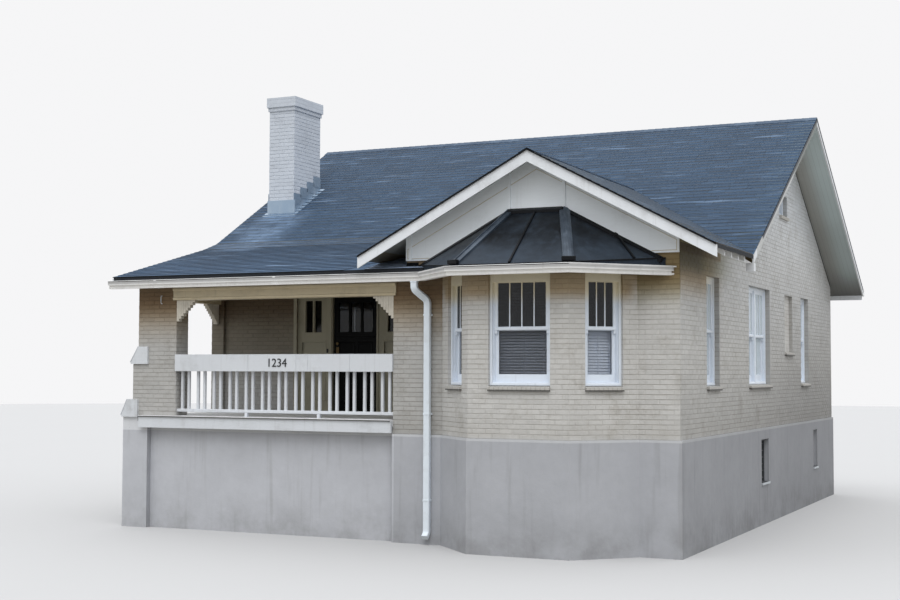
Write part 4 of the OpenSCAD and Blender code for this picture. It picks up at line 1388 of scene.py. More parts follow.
class Finishes:
    """Every material of the house, made once."""

    def __init__(self) -> None:
        """Makes the materials."""
        grime, white, cap = paint(96, 88, 74), paint(231, 235, 241), paint(212, 216, 222)
        board = paint(176, 178, 176)
        self.brick = PaintedBrick("painted_brick", paint(193, 192, 190),
                                  paint(134, 127, 114)).build()
        self.foundation = Parging("parged_masonry", paint(170, 172, 178), paint(116, 116, 116),
                                  paint(196, 198, 202)).build()
        self.rowlock = Rowlock("rowlock_brick", paint(182, 180, 176), paint(120, 114, 102)).build()
        self.shingles = Shingles("asphalt_shingles", paint(47, 69, 93), paint(126, 150, 180),
                                 board).build()
        # a lighter copy of the shingles: painted light on the low roof under the wing's eave
        self.low_shingles_painted_light = Shingles("low_roof_shingles_painted_light", paint(148, 164, 188),
                                     paint(180, 200, 226), board).build()
        # the seam metal takes a painted highlight near the bay's eave
        self.seam_metal = SheetMetal("seam_metal", paint(17, 20, 24), paint(64, 76, 90), 0.42, 0.1,
                                     foot=0.34, gloss=0.12).build()
        self.trim = PaintedWood("white_trim", white, grime, dirt=0.2).build()
        self.verge = PaintedWood("rake_paint", white, grime, dirt=0.2, verge=True).build()
        self.panel = PaintedWood("gable_paint", paint(240, 246, 252), grime, dirt=0.12).build()
        self.tan_trim = PaintedWood("porch_trim", paint(201, 188, 160), grime).build()
        self.gutter = SmoothPaint("gutter_enamel", paint(230, 230, 230), grime, lipped=True).build()
        # window paint takes painted warm shade under the eaves
        self.frames = PaintedWood("window_paint", paint(226, 234, 245), grime, 0.4, 0.15,
                                  0.85).build()
        self.chimney = PaintedBrick("chimney_brick", paint(196, 199, 203), paint(150, 152, 156),
                                    contrast=0.08).build()
        self.glass = WindowGlass("window_glass", paint(26, 28, 32), 0.12, 0.7).build()
        # pale glass with a painted sky reflection for the side and back windows
        self.painted_sky_glass = WindowGlass("painted_sky_reflection_glass", paint(232, 244, 253)).build()
        self.dark_glass = WindowGlass("entry_glass", paint(14, 15, 14)).build()
        self.entry = PaintedWood("entry_paint", paint(158, 154, 136), grime).build()
        self.door = PaintedWood("door_paint", paint(5, 6, 6), paint(14, 14, 14), 0.3,
                                gloss=0.06).build()
        self.brass = SheetMetal("old_brass", paint(96, 80, 54), paint(60, 50, 34), 0.35,
                                0.9).build()
        self.concrete = Mineral("porch_concrete", paint(226, 227, 230), paint(196, 196, 196),
                                edged=True).build()
        self.caps = PaintedWood("cap_paint", cap, grime, dirt=0.35).build()
        self.flashing = SheetMetal("galvanised_sheet", paint(150, 170, 190), paint(198, 208, 216),
                                   0.42, 0.6).build()
        self.lumber = Lumber("floor_boards", paint(134, 104, 70), paint(70, 50, 32)).build()
        self.vents = Louvre("vent_paint", paint(190, 196, 202), paint(70, 73, 76)).build()
        self.ridge_felt = Mineral("ridge_cap_felt", paint(58, 74, 94), paint(98, 116, 136)).build()
        self.dark_edge = SheetMetal("dark_edge_metal", paint(12, 13, 16), paint(34, 38, 44), 0.4,
                                    0.1, gloss=0.15).build()
        self.hip_metal = SheetMetal("hip_cap_metal", paint(58, 68, 80), paint(120, 134, 150),
                                    0.34, 0.5).build()
        self.slats = SmoothPaint("blind_slats", paint(214, 224, 240), paint(150, 152, 158),
                                 0.45).build()
        self.pipe = SmoothPaint("downspout_enamel", paint(226, 235, 244), grime).build()
        self.bracket = PaintedWood("bracket_paint", paint(206, 200, 188), grime).build()
        self.rail = PaintedWood("rail_paint", cap, grime, dirt=0.22).build()
        self.ink = PaintedWood("black_paint", paint(24, 26, 30), paint(60, 60, 58), 0.35).build()
        self.clay = Mineral("flue_clay", paint(120, 84, 62), paint(60, 52, 46)).build()


@dataclass
class SubAssembly:
    """What the sub-assemblies share: their finishes, and dressing a piece and reporting it."""
    finishes: Finishes

    def fit(self, name: str, pieces: Sequence[Piece], material: Material, slot: str,
            body: str = "house") -> Piece:
        """Joins meshes into a piece and gives it its finish and its body.

        Args:
            name: the piece's name.
            pieces: its finished meshes.
            material: its material.
            slot: the slot that the finish comes from; not used.
            body: the CAD body that it moves with.

        Returns:
            The piece.
        """
        piece = BENCH.join(pieces)
        piece.name = name
        piece.data.materials.clear()
        piece.data.materials.append(material)
        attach(piece, body)
        LOG.info("piece %s: %d faces on %s", name, len(piece.data.polygons), body)
        return piece


class Shell(SubAssembly):
    """The solids that keep their shapes from the CAD part."""

    def dress(self) -> None:
        """Gives each carried-over solid its material."""
        f = self.finishes
        for material, nodes in (
                (f.brick, "right_wall rear_wall left_wall wing_front_wall wing_side_wall bay_wall"),
                (f.brick, "porch_wall_left porch_wall_right porch_wall_head porch_pier"),
                (f.chimney, "chimney"),
                (f.foundation, "foundation_front foundation_right foundation_back porch_base"),
                (f.rowlock, "window_sills"),
                (f.shingles, "roof_front roof_rear porch_roof wing_roof"),
                (f.low_shingles_painted_light, "low_roof"),
                (f.seam_metal, "bay_roof"),
                (f.trim, "wing_rake_boards rafter_tails"),
                (f.verge, "main_rake_boards"),
                (f.panel, "gable_panel"),
                (f.rail, "porch_fascia planter_box porch_railing"),
                (f.tan_trim, "porch_beam porch_ceiling porch_brackets"),
                (f.gutter, "front_gutter rear_gutter downspout"),
                (f.frames, "bay_windows right_windows back_windows"),
                (f.glass, "bay_glass"),
                (f.painted_sky_glass, "right_glass back_glass"),
                (f.dark_glass, "sidelight_glass door_glass"),
                (f.entry, "door_frame"),
                (f.door, "front_door"),
                (f.brass, "door_knob"),
                (f.concrete, "porch_floor"),
                (f.caps, "pier_caps"),
                (f.flashing, "chimney_flashing"),
                (f.lumber, "house_floor attic_floor"),
                (f.vents, "basement_vents")):
            for name in nodes.split():
                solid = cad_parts[name]
                solid.data.materials.clear()
                solid.data.materials.append(material)
                LOG.info("solid %s wears %s", name, material.name)


@dataclass
class GableBead(SubAssembly):
    """Thin bead that runs just inside the border of the panelled gable, in a darker paint as a
    painted shadow line.

    Attributes:
        reach: half the panel's gap at its foot, where the bay's roof passes, millimetres.
        foot: height of the bead along the panel's foot.
        drop: how far it lies below the wing's roof.
        inset: how far it lies from the panel's upright edges.
        face: its place on the panel.
    """
    reach: float = 1752
    foot: float = 2682
    drop: float = 252
    inset: float = 32
    face: float = -38

    def build(self) -> None:
        """Builds and dresses the bead."""
        s = SIZES
        points = []
        for side in (-1, 1):
            end = s.wing_mid + side * (-s.wing_mid - self.inset)
            half = [(s.wing_mid + side * self.reach, self.foot), (end, self.foot),
                    (end, s.wing_z(end) - self.drop), (s.wing_mid, s.wing_ridge_z - self.drop)]
            points = half if side < 0 else points + half[:3][::-1]
        path = [place(x, self.face, z) for x, z in points]
        profile = [(-0.007, 0), (0.007, 0), (0.004, 0.008), (-0.004, 0.008)]
        # the bracket paint is darker than the panel: a painted shadow line along the bead
        self.fit("gable_bead", [BENCH.strip(path, profile, OUT)], self.finishes.bracket, "panel")


@dataclass(frozen=True)
class Face:
    """One face of brickwork, seen from outside.

    Attributes:
        x, y: its left end in the house's axes, millimetres.
        turn: direction that it faces, degrees from the x axis.
        length: millimetres.
        low: height of its bottom, millimetres.
        top: its upper outline as places along it and heights, millimetres.
        holes: left, right, bottom and top of each hole, millimetres.
    """
    x: float
    y: float
    turn: float
    length: float
    low: float
    top: Sequence[Pair]
    holes: Sequence[Box] = ()

    def height(self, u: float) -> float:
        """Height of the upper outline at a place along the face, millimetres.

        Args:
            u: the place.

        Returns:
            The height.
        """
        for (u0, z0), (u1, z1) in zip(self.top, self.top[1:]):
            if u0 <= u <= u1 and u1 > u0:
                return z0 + (z1 - z0) * (u - u0) / (u1 - u0)
        return self.top[0][1] if u < self.top[0][0] else self.top[-1][1]


def plain(x: float, y: float, turn: float, length: float, low: float, high: float,
          *holes: Box) -> Face:
    """A face with a level top, of which high is the height; see Face for the rest."""
    return Face(x, y, turn, length, low, ((0, high), (length, high)), holes)


@dataclass
class Brickwork(SubAssembly):
    """Bricks that stand out of the wall solids, laid in line with the paint's joints.

    Attributes:
        course, length: pitch of the courses and of the bricks, metres.
        joint, upright: widths of a bed joint and of an upright one.
        proud: how far a brick stands out.
        chamfer: how far its worn edges slope.
        roof: how far the gables end below the roof's surface, millimetres.
        porch_top, wing_top: heights of the brickwork there.
    """
    course: float = 0.071
    length: float = 0.213
    joint: float = 0.011
    upright: float = 0.006
    proud: float = 0.0042
    chamfer: float = 0.003
    roof: float = 176
    porch_top: float = 2400
    wing_top: float = 2420

    def brick(self) -> Piece:
        """One worn brick without a back, its left end at the origin.

        Returns:
            The brick, with eight corners.
        """
        half, end = self.joint / 2, self.upright / 2
        piece = BENCH.block((end, -0.001, half),
                            (self.length - end, self.proud, self.course - half))
        BENCH.faces(piece, lambda c, n: n.y < -0.9)
        bpy.ops.mesh.delete(type="ONLY_FACE")
        BENCH.faces(piece, lambda c, n: n.y > 0.9)
        wide = 1 - 2 * self.chamfer / (self.length - self.upright)
        tall = 1 - 2 * self.chamfer / (self.course - self.joint)
        bpy.ops.transform.resize(value=(wide, 1, tall))
        BENCH.rest()
        return piece

    def trim(self, face: Face, box: Sequence[float]) -> Optional[list[float]]:
        """Cuts a brick's outline to its face, clear of the holes.

        Args:
            face: the face.
            box: left, right, bottom and top, metres.

        Returns:
            What is left of it, or None.
        """
        u0, u1 = max(box[0], 0), min(box[1], face.length * MM)
        if u1 - u0 < 0.02:
            return None
        top = min(face.height(u / MM) for u in (u0, u1)) * MM
        rest = [u0, u1, max(box[2], face.low * MM), min(box[3], top)]
        for hole in face.holes:
            h0, h1, k0, k1 = (v * MM for v in hole)
            u0, u1, z0, z1 = rest
            if u1 <= h0 or u0 >= h1 or z1 <= k0 or z0 >= k1:
                continue
            parts = [[u0, min(u1, h0), z0, z1], [max(u0, h1), u1, z0, z1],
                     [u0, u1, z0, min(z1, k0)], [u0, u1, max(z0, k1), z1]]
            rest = max(parts, key=lambda p: max(p[1] - p[0], 0) * max(p[3] - p[2], 0))
        if rest[1] - rest[0] < 0.02 or rest[3] - rest[2] < 0.012:
            return None
        return rest

    def lay(self, face: Face, pick: random.Random) -> Piece:
        """Lays a face: two bricks, repeated along and up, then trimmed one by one.

        Args:
            face: the face.
            pick: source of the small differences.

        Returns:
            The face's bricks in the part's frame.
        """
        turn = math.radians(face.turn)
        normal = Vector((math.cos(turn), math.sin(turn), 0))
        along = Vector((-normal.y, normal.x, 0))
        start = place(face.x, face.y, 0)
        shift = start.dot(along)
        high = max(z for _, z in face.top) * MM
        columns = int(face.length * MM / self.length) + 3
        first = math.floor(shift / self.length) * self.length - shift - self.length
        row = int(face.low * MM / self.course / 2) * 2
        piece = self.brick()
        BENCH.move(piece, Matrix.Translation((first + self.length / 2, 0, row * self.course)))
        BENCH.array(piece, 2, (-self.length / 2, 0, self.course))
        BENCH.array(piece, columns, (self.length, 0, 0))
        BENCH.array(piece, int((high / self.course - row) / 2) + 1, (0, 0, 2 * self.course))
        points = piece.data.vertices
        for k in range(0, len(points), 8):
            brick = points[k:k + 8]
            us, zs = [v.co.x for v in brick], [v.co.z for v in brick]
            box = (min(us), max(us), min(zs), max(zs))
            rest = self.trim(face, box)
            out, lean = pick.uniform(-0.0007, 0.0007), pick.uniform(-0.0006, 0.0006)
            for v in brick:
                if rest is None:
                    v.co = (0, 0, -50)
                    continue
                outer = v.co.y > 0
                left, low = v.co.x < (box[0] + box[1]) / 2, v.co.z < (box[2] + box[3]) / 2
                inset = self.chamfer if outer else 0
                v.co.x = rest[0] + inset if left else rest[1] - inset
                v.co.z = rest[2] + inset if low else rest[3] - inset
                v.co.y += out + (lean if left else -lean) if outer else 0
        BENCH.faces(piece, lambda c, n: c.z < -40)
        bpy.ops.mesh.delete(type="FACE")
        BENCH.rest()
        return BENCH.move(piece, axes(along, normal, UP, start))

    def gable(self, meet: float) -> list[Pair]:
        """Outline under the main roof from a place on the front slope to the back."""
        places = (meet, SIZES.ridge_y, SIZES.depth)
        return [(y, SIZES.main_z(y) - self.roof) for y in places]

    def sides(self) -> list[Face]:
        """The right wall, the left wall and the chimney's breast on it.

        Returns:
            The faces.
        """
        s = SIZES
        meet = s.meet_y(s.wing_z(0))
        attic = (s.ridge_y - s.attic_half, s.ridge_y + s.attic_half, s.attic_low, s.attic_high)
        niche = (7040, 7740, 1270, 2400)
        right = Face(0, 0, 0, s.depth, 0, [(0, s.wing_wall_top), (meet, s.wing_wall_top),
                                          *self.gable(meet)],
                     [*holes(RIGHT_ROWS), attic, niche])
        slope = [(s.depth - y, z) for y, z in reversed(self.gable(s.bend_y))]
        corner = s.depth - 2140
        stack = (4060, 5050, 0, 7000)
        left = Face(s.left, s.depth, 180, corner, 0, [*slope, (corner, s.flare_z - 200)],
                    [(s.depth - b, s.depth - a, c, d) for a, b, c, d
                     in [*holes(LEFT_ROWS), attic, stack]])
        return [right, left, plain(s.left - 20, 5050, 180, 990, 0, 4000)]

    def faces(self) -> dict[str, list[Face]]:
        """Every face of brickwork, by the name of its piece.

        Returns:
            The faces.
        """
        s = SIZES
        right, left, breast = self.sides()
        rear = plain(0, s.depth, 90, -s.left, 0, s.main_z(s.depth) - self.roof, *holes(REAR_ROWS))
        floor, top, cap = s.porch_floor, self.porch_top, 1070
        half, deep, cant = s.bay_half, s.bay_depth, s.bay_depth * math.sqrt(2)
        hole = ((cant - 590) / 2, (cant + 590) / 2, 685, 2390)
        bay = [plain(s.wing_mid - half - deep, 0, -135, cant, 0, 2430, hole),
               plain(s.wing_mid - half, -deep, -90, 2 * half, 0, 2430,
                     (half - 452.5, half + 492.5, 685, 2390)),
               plain(s.wing_mid + half, -deep, -45, cant, 0, 2430, hole)]
        end = s.wing_left - 230
        wing = [plain(end, 0, -90, s.wing_mid - half - deep - end, 0, self.wing_top),
                plain(s.wing_mid + half + deep, 0, -90, -s.wing_mid - half - deep, 0, 2660),
                plain(s.wing_left, 250, 90, 230, floor, top),
                plain(end, 250, 180, 250, floor, 2160)]
        porch = [plain(s.wing_left, 2200, 180, 1950, floor, top),
                 plain(s.left + 250, 2200, -90, -7590 - s.left - 250, floor, top),
                 plain(-5310, 2200, -90, s.wing_left + 5310, floor, top)]
        x0, x1 = s.left, s.left + 765
        pier = [plain(x0 - 105, 0, -90, 870, floor, cap), plain(x0, 0, -90, 765, cap, top),
                plain(x0 - 105, 330, 180, 330, floor, cap), plain(x0, 330, 180, 330, cap, top),
                plain(x1, 0, 0, 330, floor, 2160), plain(x1, 330, 90, 765, floor, 2160)]
        x0, x1 = s.left - 20, s.left + 540
        stack = [plain(x0, 4060, -90, 560, 3900, 6100), plain(x1, 4060, 0, 990, 3900, 6100),
                 plain(x1, 5050, 90, 560, 4400, 6100), plain(x0, 5050, 180, 990, 4000, 6100)]
        return {"right_bricks": [right], "left_bricks": [left, breast], "rear_bricks": [rear],
                "bay_bricks": bay, "wing_bricks": wing, "porch_bricks": porch,
                "pier_bricks": pier, "chimney_bricks": stack}

    def build(self) -> None:
        """Builds and dresses the bricks."""
        pick = random.Random(11)
        for name, faces in self.faces().items():
            finish = self.finishes.chimney if name == "chimney_bricks" else self.finishes.brick
            self.fit(name, [self.lay(face, pick) for face in faces], finish, "brick")


@dataclass
class ShingleCourses(SubAssembly):
    """Courses of shingles laid over the roof solids, and the caps on the ridges.

    Attributes:
        exposed: what shows of a course, metres.
        lift: how far a course's lower edge stands up, metres.
        base: how far the sheets lie above the solids, metres.
        overhang: how far they pass the solids' front edges, millimetres.
        cap_half, cap_t: half width and thickness of a ridge cap, metres.
    """
    exposed: float = 0.142
    lift: float = 0.007
    base: float = 0.0015
    overhang: float = 12
    cap_half: float = 0.15
    cap_t: float = 0.005

    def lines(self, z0: float, z1: float, lean: float) -> list[float]:
        """Where the courses part a sheet.

        Args:
            z0, z1: heights of its lower and upper edges, metres.
            lean: rise for each metre up the sheet.

        Returns:
            Shares from 0 at the lower edge to 1 at the upper.
        """
        shares = [0.0]
        row = math.floor(z0 / lean / self.exposed) + 1
        while row * self.exposed * lean < z1 - 0.004:
            share = (row * self.exposed * lean - z0) / (z1 - z0)
            if share > 0.002:
                shares.append(share)
            row += 1
        return shares + [1.0]

    def sheet(self, plane: Callable[[float, float], Vector], ends: Pair, edges: Pair,
              upper: Optional[Callable[[float, float], Vector]] = None) -> Piece:
        """Lays courses on one plane of a roof.

        Args:
            plane: gives the roof's point at a place along it and up it.
            ends: places of its left and right ends, seen from outside, millimetres.
            edges: places of its lower and upper edges, millimetres.
            upper: gives the points of the upper edge, where that differs.

        Returns:
            The stepped sheet.
        """
        low = [plane(end, edges[0]) for end in ends]
        high = [(upper or plane)(end, edges[1]) for end in ends]
        across = (low[1] - low[0]).normalized()
        slope = (high[0] - low[0]) - across * (high[0] - low[0]).dot(across)
        normal = across.cross(slope).normalized()
        lines = self.lines(low[0].z, high[0].z, Vector((normal.x, normal.y)).length)
        rows = len(lines) - 1
        piece = BENCH.sheet(((0, 0, 0), (1, 0, 0), (1, 1, 0), (0, 1, 0)), rows)
        for v in piece.data.vertices:
            share = lines[round(v.co.y * rows)]
            v.co = low[0].lerp(low[1], v.co.x).lerp(high[0].lerp(high[1], v.co.x), share)
            v.co += normal * self.base

        def level(a: Vector, b: Vector) -> bool:
            """Whether an edge lies along the courses."""
            return abs((a - b).normalized().dot(across)) > 0.999
        BENCH.edges(piece, level)
        bpy.ops.mesh.edge_split(type="EDGE")
        mesh = bmesh.from_edit_mesh(piece.data)
        for face in mesh.faces:
            middle = face.calc_center_median().z
            for vert in face.verts:
                if vert.co.z < middle:
                    vert.co += normal * self.lift
        for edge in mesh.edges:
            a, b = (v.co for v in edge.verts)
            middle = edge.link_faces[0].calc_center_median().z
            edge.select_set(level(a, b) and (a.z + b.z) / 2 < middle)
        bmesh.update_edit_mesh(piece.data)
        bpy.ops.mesh.extrude_edges_move(TRANSFORM_OT_translate={"value": -normal * self.lift})
        BENCH.rest()
        return piece

    def below(self, piece: Piece, start: Vector, end: Vector, away: Pair) -> None:
        """Cuts a sheet along an upright plane through two points.

        Args:
            piece: the sheet.
            start, end: points on the plane.
            away: the side that goes.
        """
        normal = (end - start).cross(UP).normalized()
        BENCH.cut(piece, start, normal if normal.dot(Vector((*away, 0))) > 0 else -normal)

    def main(self, x: float, y: float) -> Vector:
        """A point on the main roof."""
        return place(x, y, SIZES.main_z(y))

    def porch(self, x: float, y: float) -> Vector:
        """A point on the porch roof."""
        return place(x, y, SIZES.porch_z(y))

    def wing(self, y: float, x: float) -> Vector:
        """A point on the wing's roof, whose courses run along y."""
        return place(x, y, SIZES.wing_z(x))

    def main_slopes(self) -> dict[str, Piece]:
        """Courses of the main roof, front and back, by the names of their pieces.

        Returns:
            The sheets.
        """
        s = SIZES
        top, corner = s.meet_y(s.wing_ridge_z), s.meet_y(s.wing_z(s.roof_right))
        peak, bend = self.main(s.wing_mid, top), self.main(s.valley_x(s.bend_z), s.bend_y)
        right = self.sheet(self.main, (s.wing_mid, s.roof_right), (corner - 60, s.ridge_y))
        self.below(right, peak, self.main(s.roof_right, corner), (-1, -1))
        left = self.sheet(self.main, (s.roof_left, s.wing_mid), (s.bend_y, s.ridge_y))
        self.below(left, peak, bend, (1, -1))
        rear = self.sheet(self.main, (s.roof_right, s.roof_left), (s.roof_back, s.ridge_y))
        return {"front_courses_right": right, "front_courses_left": left, "rear_courses": rear}

    def low_slopes(self) -> dict[str, Piece]:
        """Courses of the porch roof and of the easy slope above it.

        Returns:
            The sheets by the names of their pieces.
        """
        s = SIZES
        bend = self.main(s.valley_x(s.bend_z), s.bend_y)
        flare = self.porch(s.valley_x(s.flare_z), s.flare_y)
        ease = self.sheet(self.porch, (s.roof_left, s.wing_mid), (s.flare_y, s.bend_y), self.main)
        self.below(ease, bend, flare, (1, -1))
        edge, eave = s.eave_y - self.overhang, s.wing_eave_left
        porch = self.sheet(self.porch, (s.roof_left, s.wing_mid), (edge, s.flare_y))
        self.below(porch, flare, self.porch(eave, s.valley_left_y(eave)), (1, -1))
        self.below(porch, self.porch(eave, edge), self.porch(eave, s.flare_y), (1, 0))
        under = s.valley_left_y(s.wing_left, s.eave_t)
        low = self.sheet(self.porch, (eave, s.wing_left), (edge, under))
        self.below(low, self.porch(s.wing_left, under),
                   self.porch(eave, s.valley_left_y(eave, s.eave_t)), (-1, 1))
        turn = (eave_path()[1] - HOUSE_ORIGIN).x / MM
        short = self.sheet(self.porch, (s.wing_left, turn), (edge, -3))
        self.below(short, self.porch(turn, s.eave_y),
                   self.porch(s.wing_mid - BayRoofMetal.side_half, 0), (1, 0))
        return {"ease_courses": ease, "porch_courses": porch,
                "low_courses": BENCH.join([low, short])}

    def wing_slopes(self) -> dict[str, Piece]:
        """Courses of the wing's roof.

        Returns:
            The sheets by the names of their pieces.
        """
        s = SIZES
        front, back = s.wing_front - 25 - self.overhang, s.meet_y(s.wing_ridge_z)
        eave, peak = s.wing_eave_left, self.wing(back, s.wing_mid)
        right = self.sheet(self.wing, (front, back), (s.roof_right - 6, s.wing_mid))
        self.below(right, peak, self.wing(s.meet_y(s.wing_z(s.roof_right)), s.roof_right), (1, 1))
        left = self.sheet(self.wing, (back, front), (eave, s.wing_mid))
        flare = self.wing(s.flare_y, s.valley_x(s.flare_z))
        self.below(left, peak, self.wing(s.bend_y, s.valley_x(s.bend_z)), (-1, 1))
        self.below(left, self.wing(s.valley_left_y(eave), eave), flare, (-1, 1))
        return {"wing_courses_right": right, "wing_courses_left": left}

    def cap_row(self, start: Vector, end: Vector, slope: float) -> Piece:
        """Folded caps that overlap along a ridge.

        Args:
            start, end: ends of the ridge, metres.
            slope: rise of the roof on each side.

        Returns:
            The row of caps.
        """
        half = self.cap_half / math.hypot(1, slope)
        run = (end - start).length
        count = math.ceil(run / self.exposed)
        step = run / count
        over = step + 0.012
        piece = BENCH.sheet(((0, -half, 0), (over, -half, 0), (over, half, 0), (0, half, 0)), 2)
        for v in piece.data.vertices:
            v.co.z = self.base + self.lift + 0.003 - slope * abs(v.co.y)
            v.co.z += self.cap_t * (1 - v.co.x / over) + 0.001
        BENCH.thicken(piece, self.cap_t)
        BENCH.array(piece, count, (step, 0, 0))
        BENCH.cut(piece, Vector((run, 0, 0)), Vector((1, 0, 0)), fill=True)
        x = (end - start).normalized()
        return BENCH.move(piece, axes(x, UP.cross(x), UP, start))

    def build(self) -> None:
        """Builds and dresses the courses, the caps and the dark edge of the wing's gable."""
        s = SIZES
        f = self.finishes
        slopes = {**self.main_slopes(), **self.low_slopes(), **self.wing_slopes()}
        for name, piece in slopes.items():
            # the low roof wears the lighter copy, painted light against its shade
            finish = f.low_shingles_painted_light if name == "low_courses" else f.shingles
            self.fit(name, [piece], finish, "shingles")
        ridge = self.cap_row(self.main(s.roof_left, s.ridge_y), self.main(s.roof_right, s.ridge_y),
                             s.roof_slope)
        wing = self.cap_row(self.wing(s.wing_front - 37, s.wing_mid),
                            self.wing(s.meet_y(s.wing_ridge_z) - 40, s.wing_mid), s.wing_slope)
        self.fit("ridge_caps", [ridge], f.ridge_felt, "shingles")
        self.fit("wing_ridge_caps", [wing], f.ridge_felt, "shingles")
        flat = [(-0.012, -0.022), (0.024, -0.022), (0.024, 0.001), (-0.012, 0.001)]
        ends = (s.wing_eave_left, s.wing_mid, s.roof_right)
        eaves = [self.wing(s.wing_front - 25, x) for x in ends]
        self.fit("wing_drip_edge", [BENCH.strip(eaves, flat)], f.dark_edge, "shingles")


@dataclass
class BayRoofMetal(SubAssembly):
    """Seams, hip caps and flashings of the bay's metal roof.

    Attributes:
        half, top_z: half width and height of the top edge, millimetres.
        eave_half, eave_y, eave_z: half width and place of the front eave.
        side_half, foot_z: half width and height of the eave at the wall.
        cap_w, seam_w, seam_h: widths of a hip cap and of a seam, and its height, metres.
    """
    half: float = 420
    top_z: float = 3373
    eave_half: float = 895
    eave_y: float = -1100
    eave_z: float = 2470
    side_half: float = 1950
    foot_z: float = 2570
    cap_w: float = 0.155
    seam_w: float = 0.030
    seam_h: float = 0.028

    def spot(self, x: float, y: float, z: float) -> Vector:
        """A point given from the wing's middle line."""
        return place(SIZES.wing_mid + x, y, z)

    def corners(self, way: int) -> tuple[Vector, Vector, Vector]:
        """Corners of one cant of the roof.

        Args:
            way: -1 for the left cant, 1 for the right one.

        Returns:
            Its top, front and wall corner.
        """
        return (self.spot(way * self.half, 0, self.top_z),
                self.spot(way * self.eave_half, self.eave_y, self.eave_z),
                self.spot(way * self.side_half, 0, self.foot_z))

    def hips(self) -> list[Piece]:
        """Wide folded caps over the two hips.

        Returns:
            The caps.
        """
        w = self.cap_w / 2
        half = [(w, 0.006), (w * 0.62, 0.020), (0.012, 0.026), (0.012, 0.040)]
        profile = [(-w, -0.020), (w, -0.020), *half, *((-x, z) for x, z in reversed(half))]
        pieces = []
        for way in (-1, 1):
            top, front, wall = self.corners(way)
            centre = self.spot(0, self.eave_y, self.eave_z)
            face_a = (top - front).cross(centre - front).normalized()
            face_b = (wall - front).cross(top - front).normalized()
            inset = (front - top).normalized() * 0.05
            pieces.append(BENCH.strip([top + inset, front - inset], profile,
                                      upward((face_a + face_b).normalized())))
        return pieces

    def feet(self) -> list[Piece]:
        """Dark turned-down feet that close the lower ends of the hip caps.

        Returns:
            The two feet.
        """
        pieces = []
        for way in (-1, 1):
            top, front, _ = self.corners(way)
            run = (front - top).normalized()
            flat = Vector((run.x, run.y, 0)).normalized()
            foot = BENCH.block((-0.098, -0.030, -0.030), (0.098, 0.028, 0.034), 0.007, 2)
            spot = front - run * 0.050 + Vector((0, 0, 0.022))
            pieces.append(BENCH.move(foot, axes(UP.cross(flat), -flat, UP, spot)))
        return pieces

    def seams(self) -> list[Piece]:
        """Standing seams, narrow and folded over, down the front and down the right cant.

        Returns:
            The seams.
        """
        rise = (self.top_z - self.eave_z) / -self.eave_y
        top, front, wall = self.corners(1)
        up = upward((wall - front).cross(top - front).normalized())
        fall = -upward(up.cross(front - wall).normalized())
        high = top.lerp(wall, 0.5)
        reach = (front - high).dot(fall)
        return [BENCH.bar(start, end, self.seam_w, self.seam_h, out, 0.004) for start, end, out in (
            (self.spot(0, -40, self.top_z - 40 * rise),
             self.spot(0, self.eave_y + 15, self.eave_z + 15 * rise),
             Vector((0, self.eave_z - self.top_z, -self.eave_y)).normalized()),
            (high + fall * 0.03, high + fall * (reach - 0.012), up))]

    def outline(self, inner: Point, outer: Point) -> list[Vector]:
        """Four points in line, from the two on the right."""
        left = [(-x, y, z) for x, y, z in (outer, inner)]
        return [self.spot(*point) for point in (*left, inner, outer)]

    def flashings(self) -> list[Piece]:
        """Dark strips along the gable and over the porch roof, and a drip edge at the eave.

        Returns:
            The strips.
        """
        tops = self.outline((self.half, -45, self.top_z - 6),
                            (self.side_half - 20, -45, self.foot_z - 6))
        band = [(-0.006, -0.070), (0.056, -0.075), (0.060, -0.030), (0.004, 0.010), (-0.006, 0.010)]
        eaves = self.outline((self.eave_half, self.eave_y + 4, self.eave_z - 12),
                             (self.side_half - 6, -4, self.foot_z - 12))
        lip = [(-0.030, 0.004), (0.012, 0.004), (0.012, 0.022), (-0.030, 0.030)]
        wall = [place(x, -1, SIZES.porch_z(0))
                for x in (SIZES.wing_left + 4, SIZES.wing_mid - self.side_half)]
        low = [(-0.004, -0.030), (0.030, -0.030), (0.034, 0.004), (0.004, 0.050), (-0.004, 0.050)]
        return [BENCH.strip(*pair) for pair in ((tops, band), (eaves, lip), (wall, low))]

    def build(self) -> None:
        """Builds and dresses the metalwork."""
        f = self.finishes
        self.fit("bay_hip_caps", self.hips(), f.hip_metal, "metal_roof")
        self.fit("bay_seams", self.seams(), f.dark_edge, "metal_roof")
        self.fit("bay_flashings", self.flashings() + self.feet(), f.dark_edge, "metal_roof")


@dataclass(frozen=True)
class Opening:
    """One window unit on a wall.

    Attributes:
        side: the wall.
        start, width: place along the wall and width, metres.
        low, high: heights of its sill and head above the ledge, metres.
        lites: panes side by side in the upper sash.
        slats: how its blind stands.
        head: depth of the board under its head, metres.
    """
    side: Side
    start: float
    width: float
    low: float = 0.755
    high: float = HEAD * MM
    lites: int = 3
    slats: Slats = Slats.SHUT
    head: float = 0.0


def openings(side: Side, rows: Sequence[Pair]) -> list[Opening]:
    """Window units of a long wall, two in each wide opening.

    Args:
        side: the wall.
        rows: place and width of each opening, millimetres.

    Returns:
        The units.
    """
    units = []
    for start, width in rows:
        count = 2 if width > 1200 else 1
        units += [Opening(side, (start + i * width / count) * MM, width / count * MM)
                  for i in range(count)]
    return units


def bay_openings() -> list[Opening]:
    """Window units of the bay, which have boards under their heads.

    Returns:
        The units.
    """
    width, low, high, board = 0.590, 0.760, 2.390, 0.150
    start = (SIZES.bay_depth * math.sqrt(2) * MM - width) / 2
    return [Opening(Side.BAY_LEFT, start, width, low, high, head=board),
            Opening(Side.BAY_FRONT, 0.3225, 0.945, low, high, 4, Slats.OPEN, board),
            Opening(Side.BAY_RIGHT, start, width, low, high, head=board)]


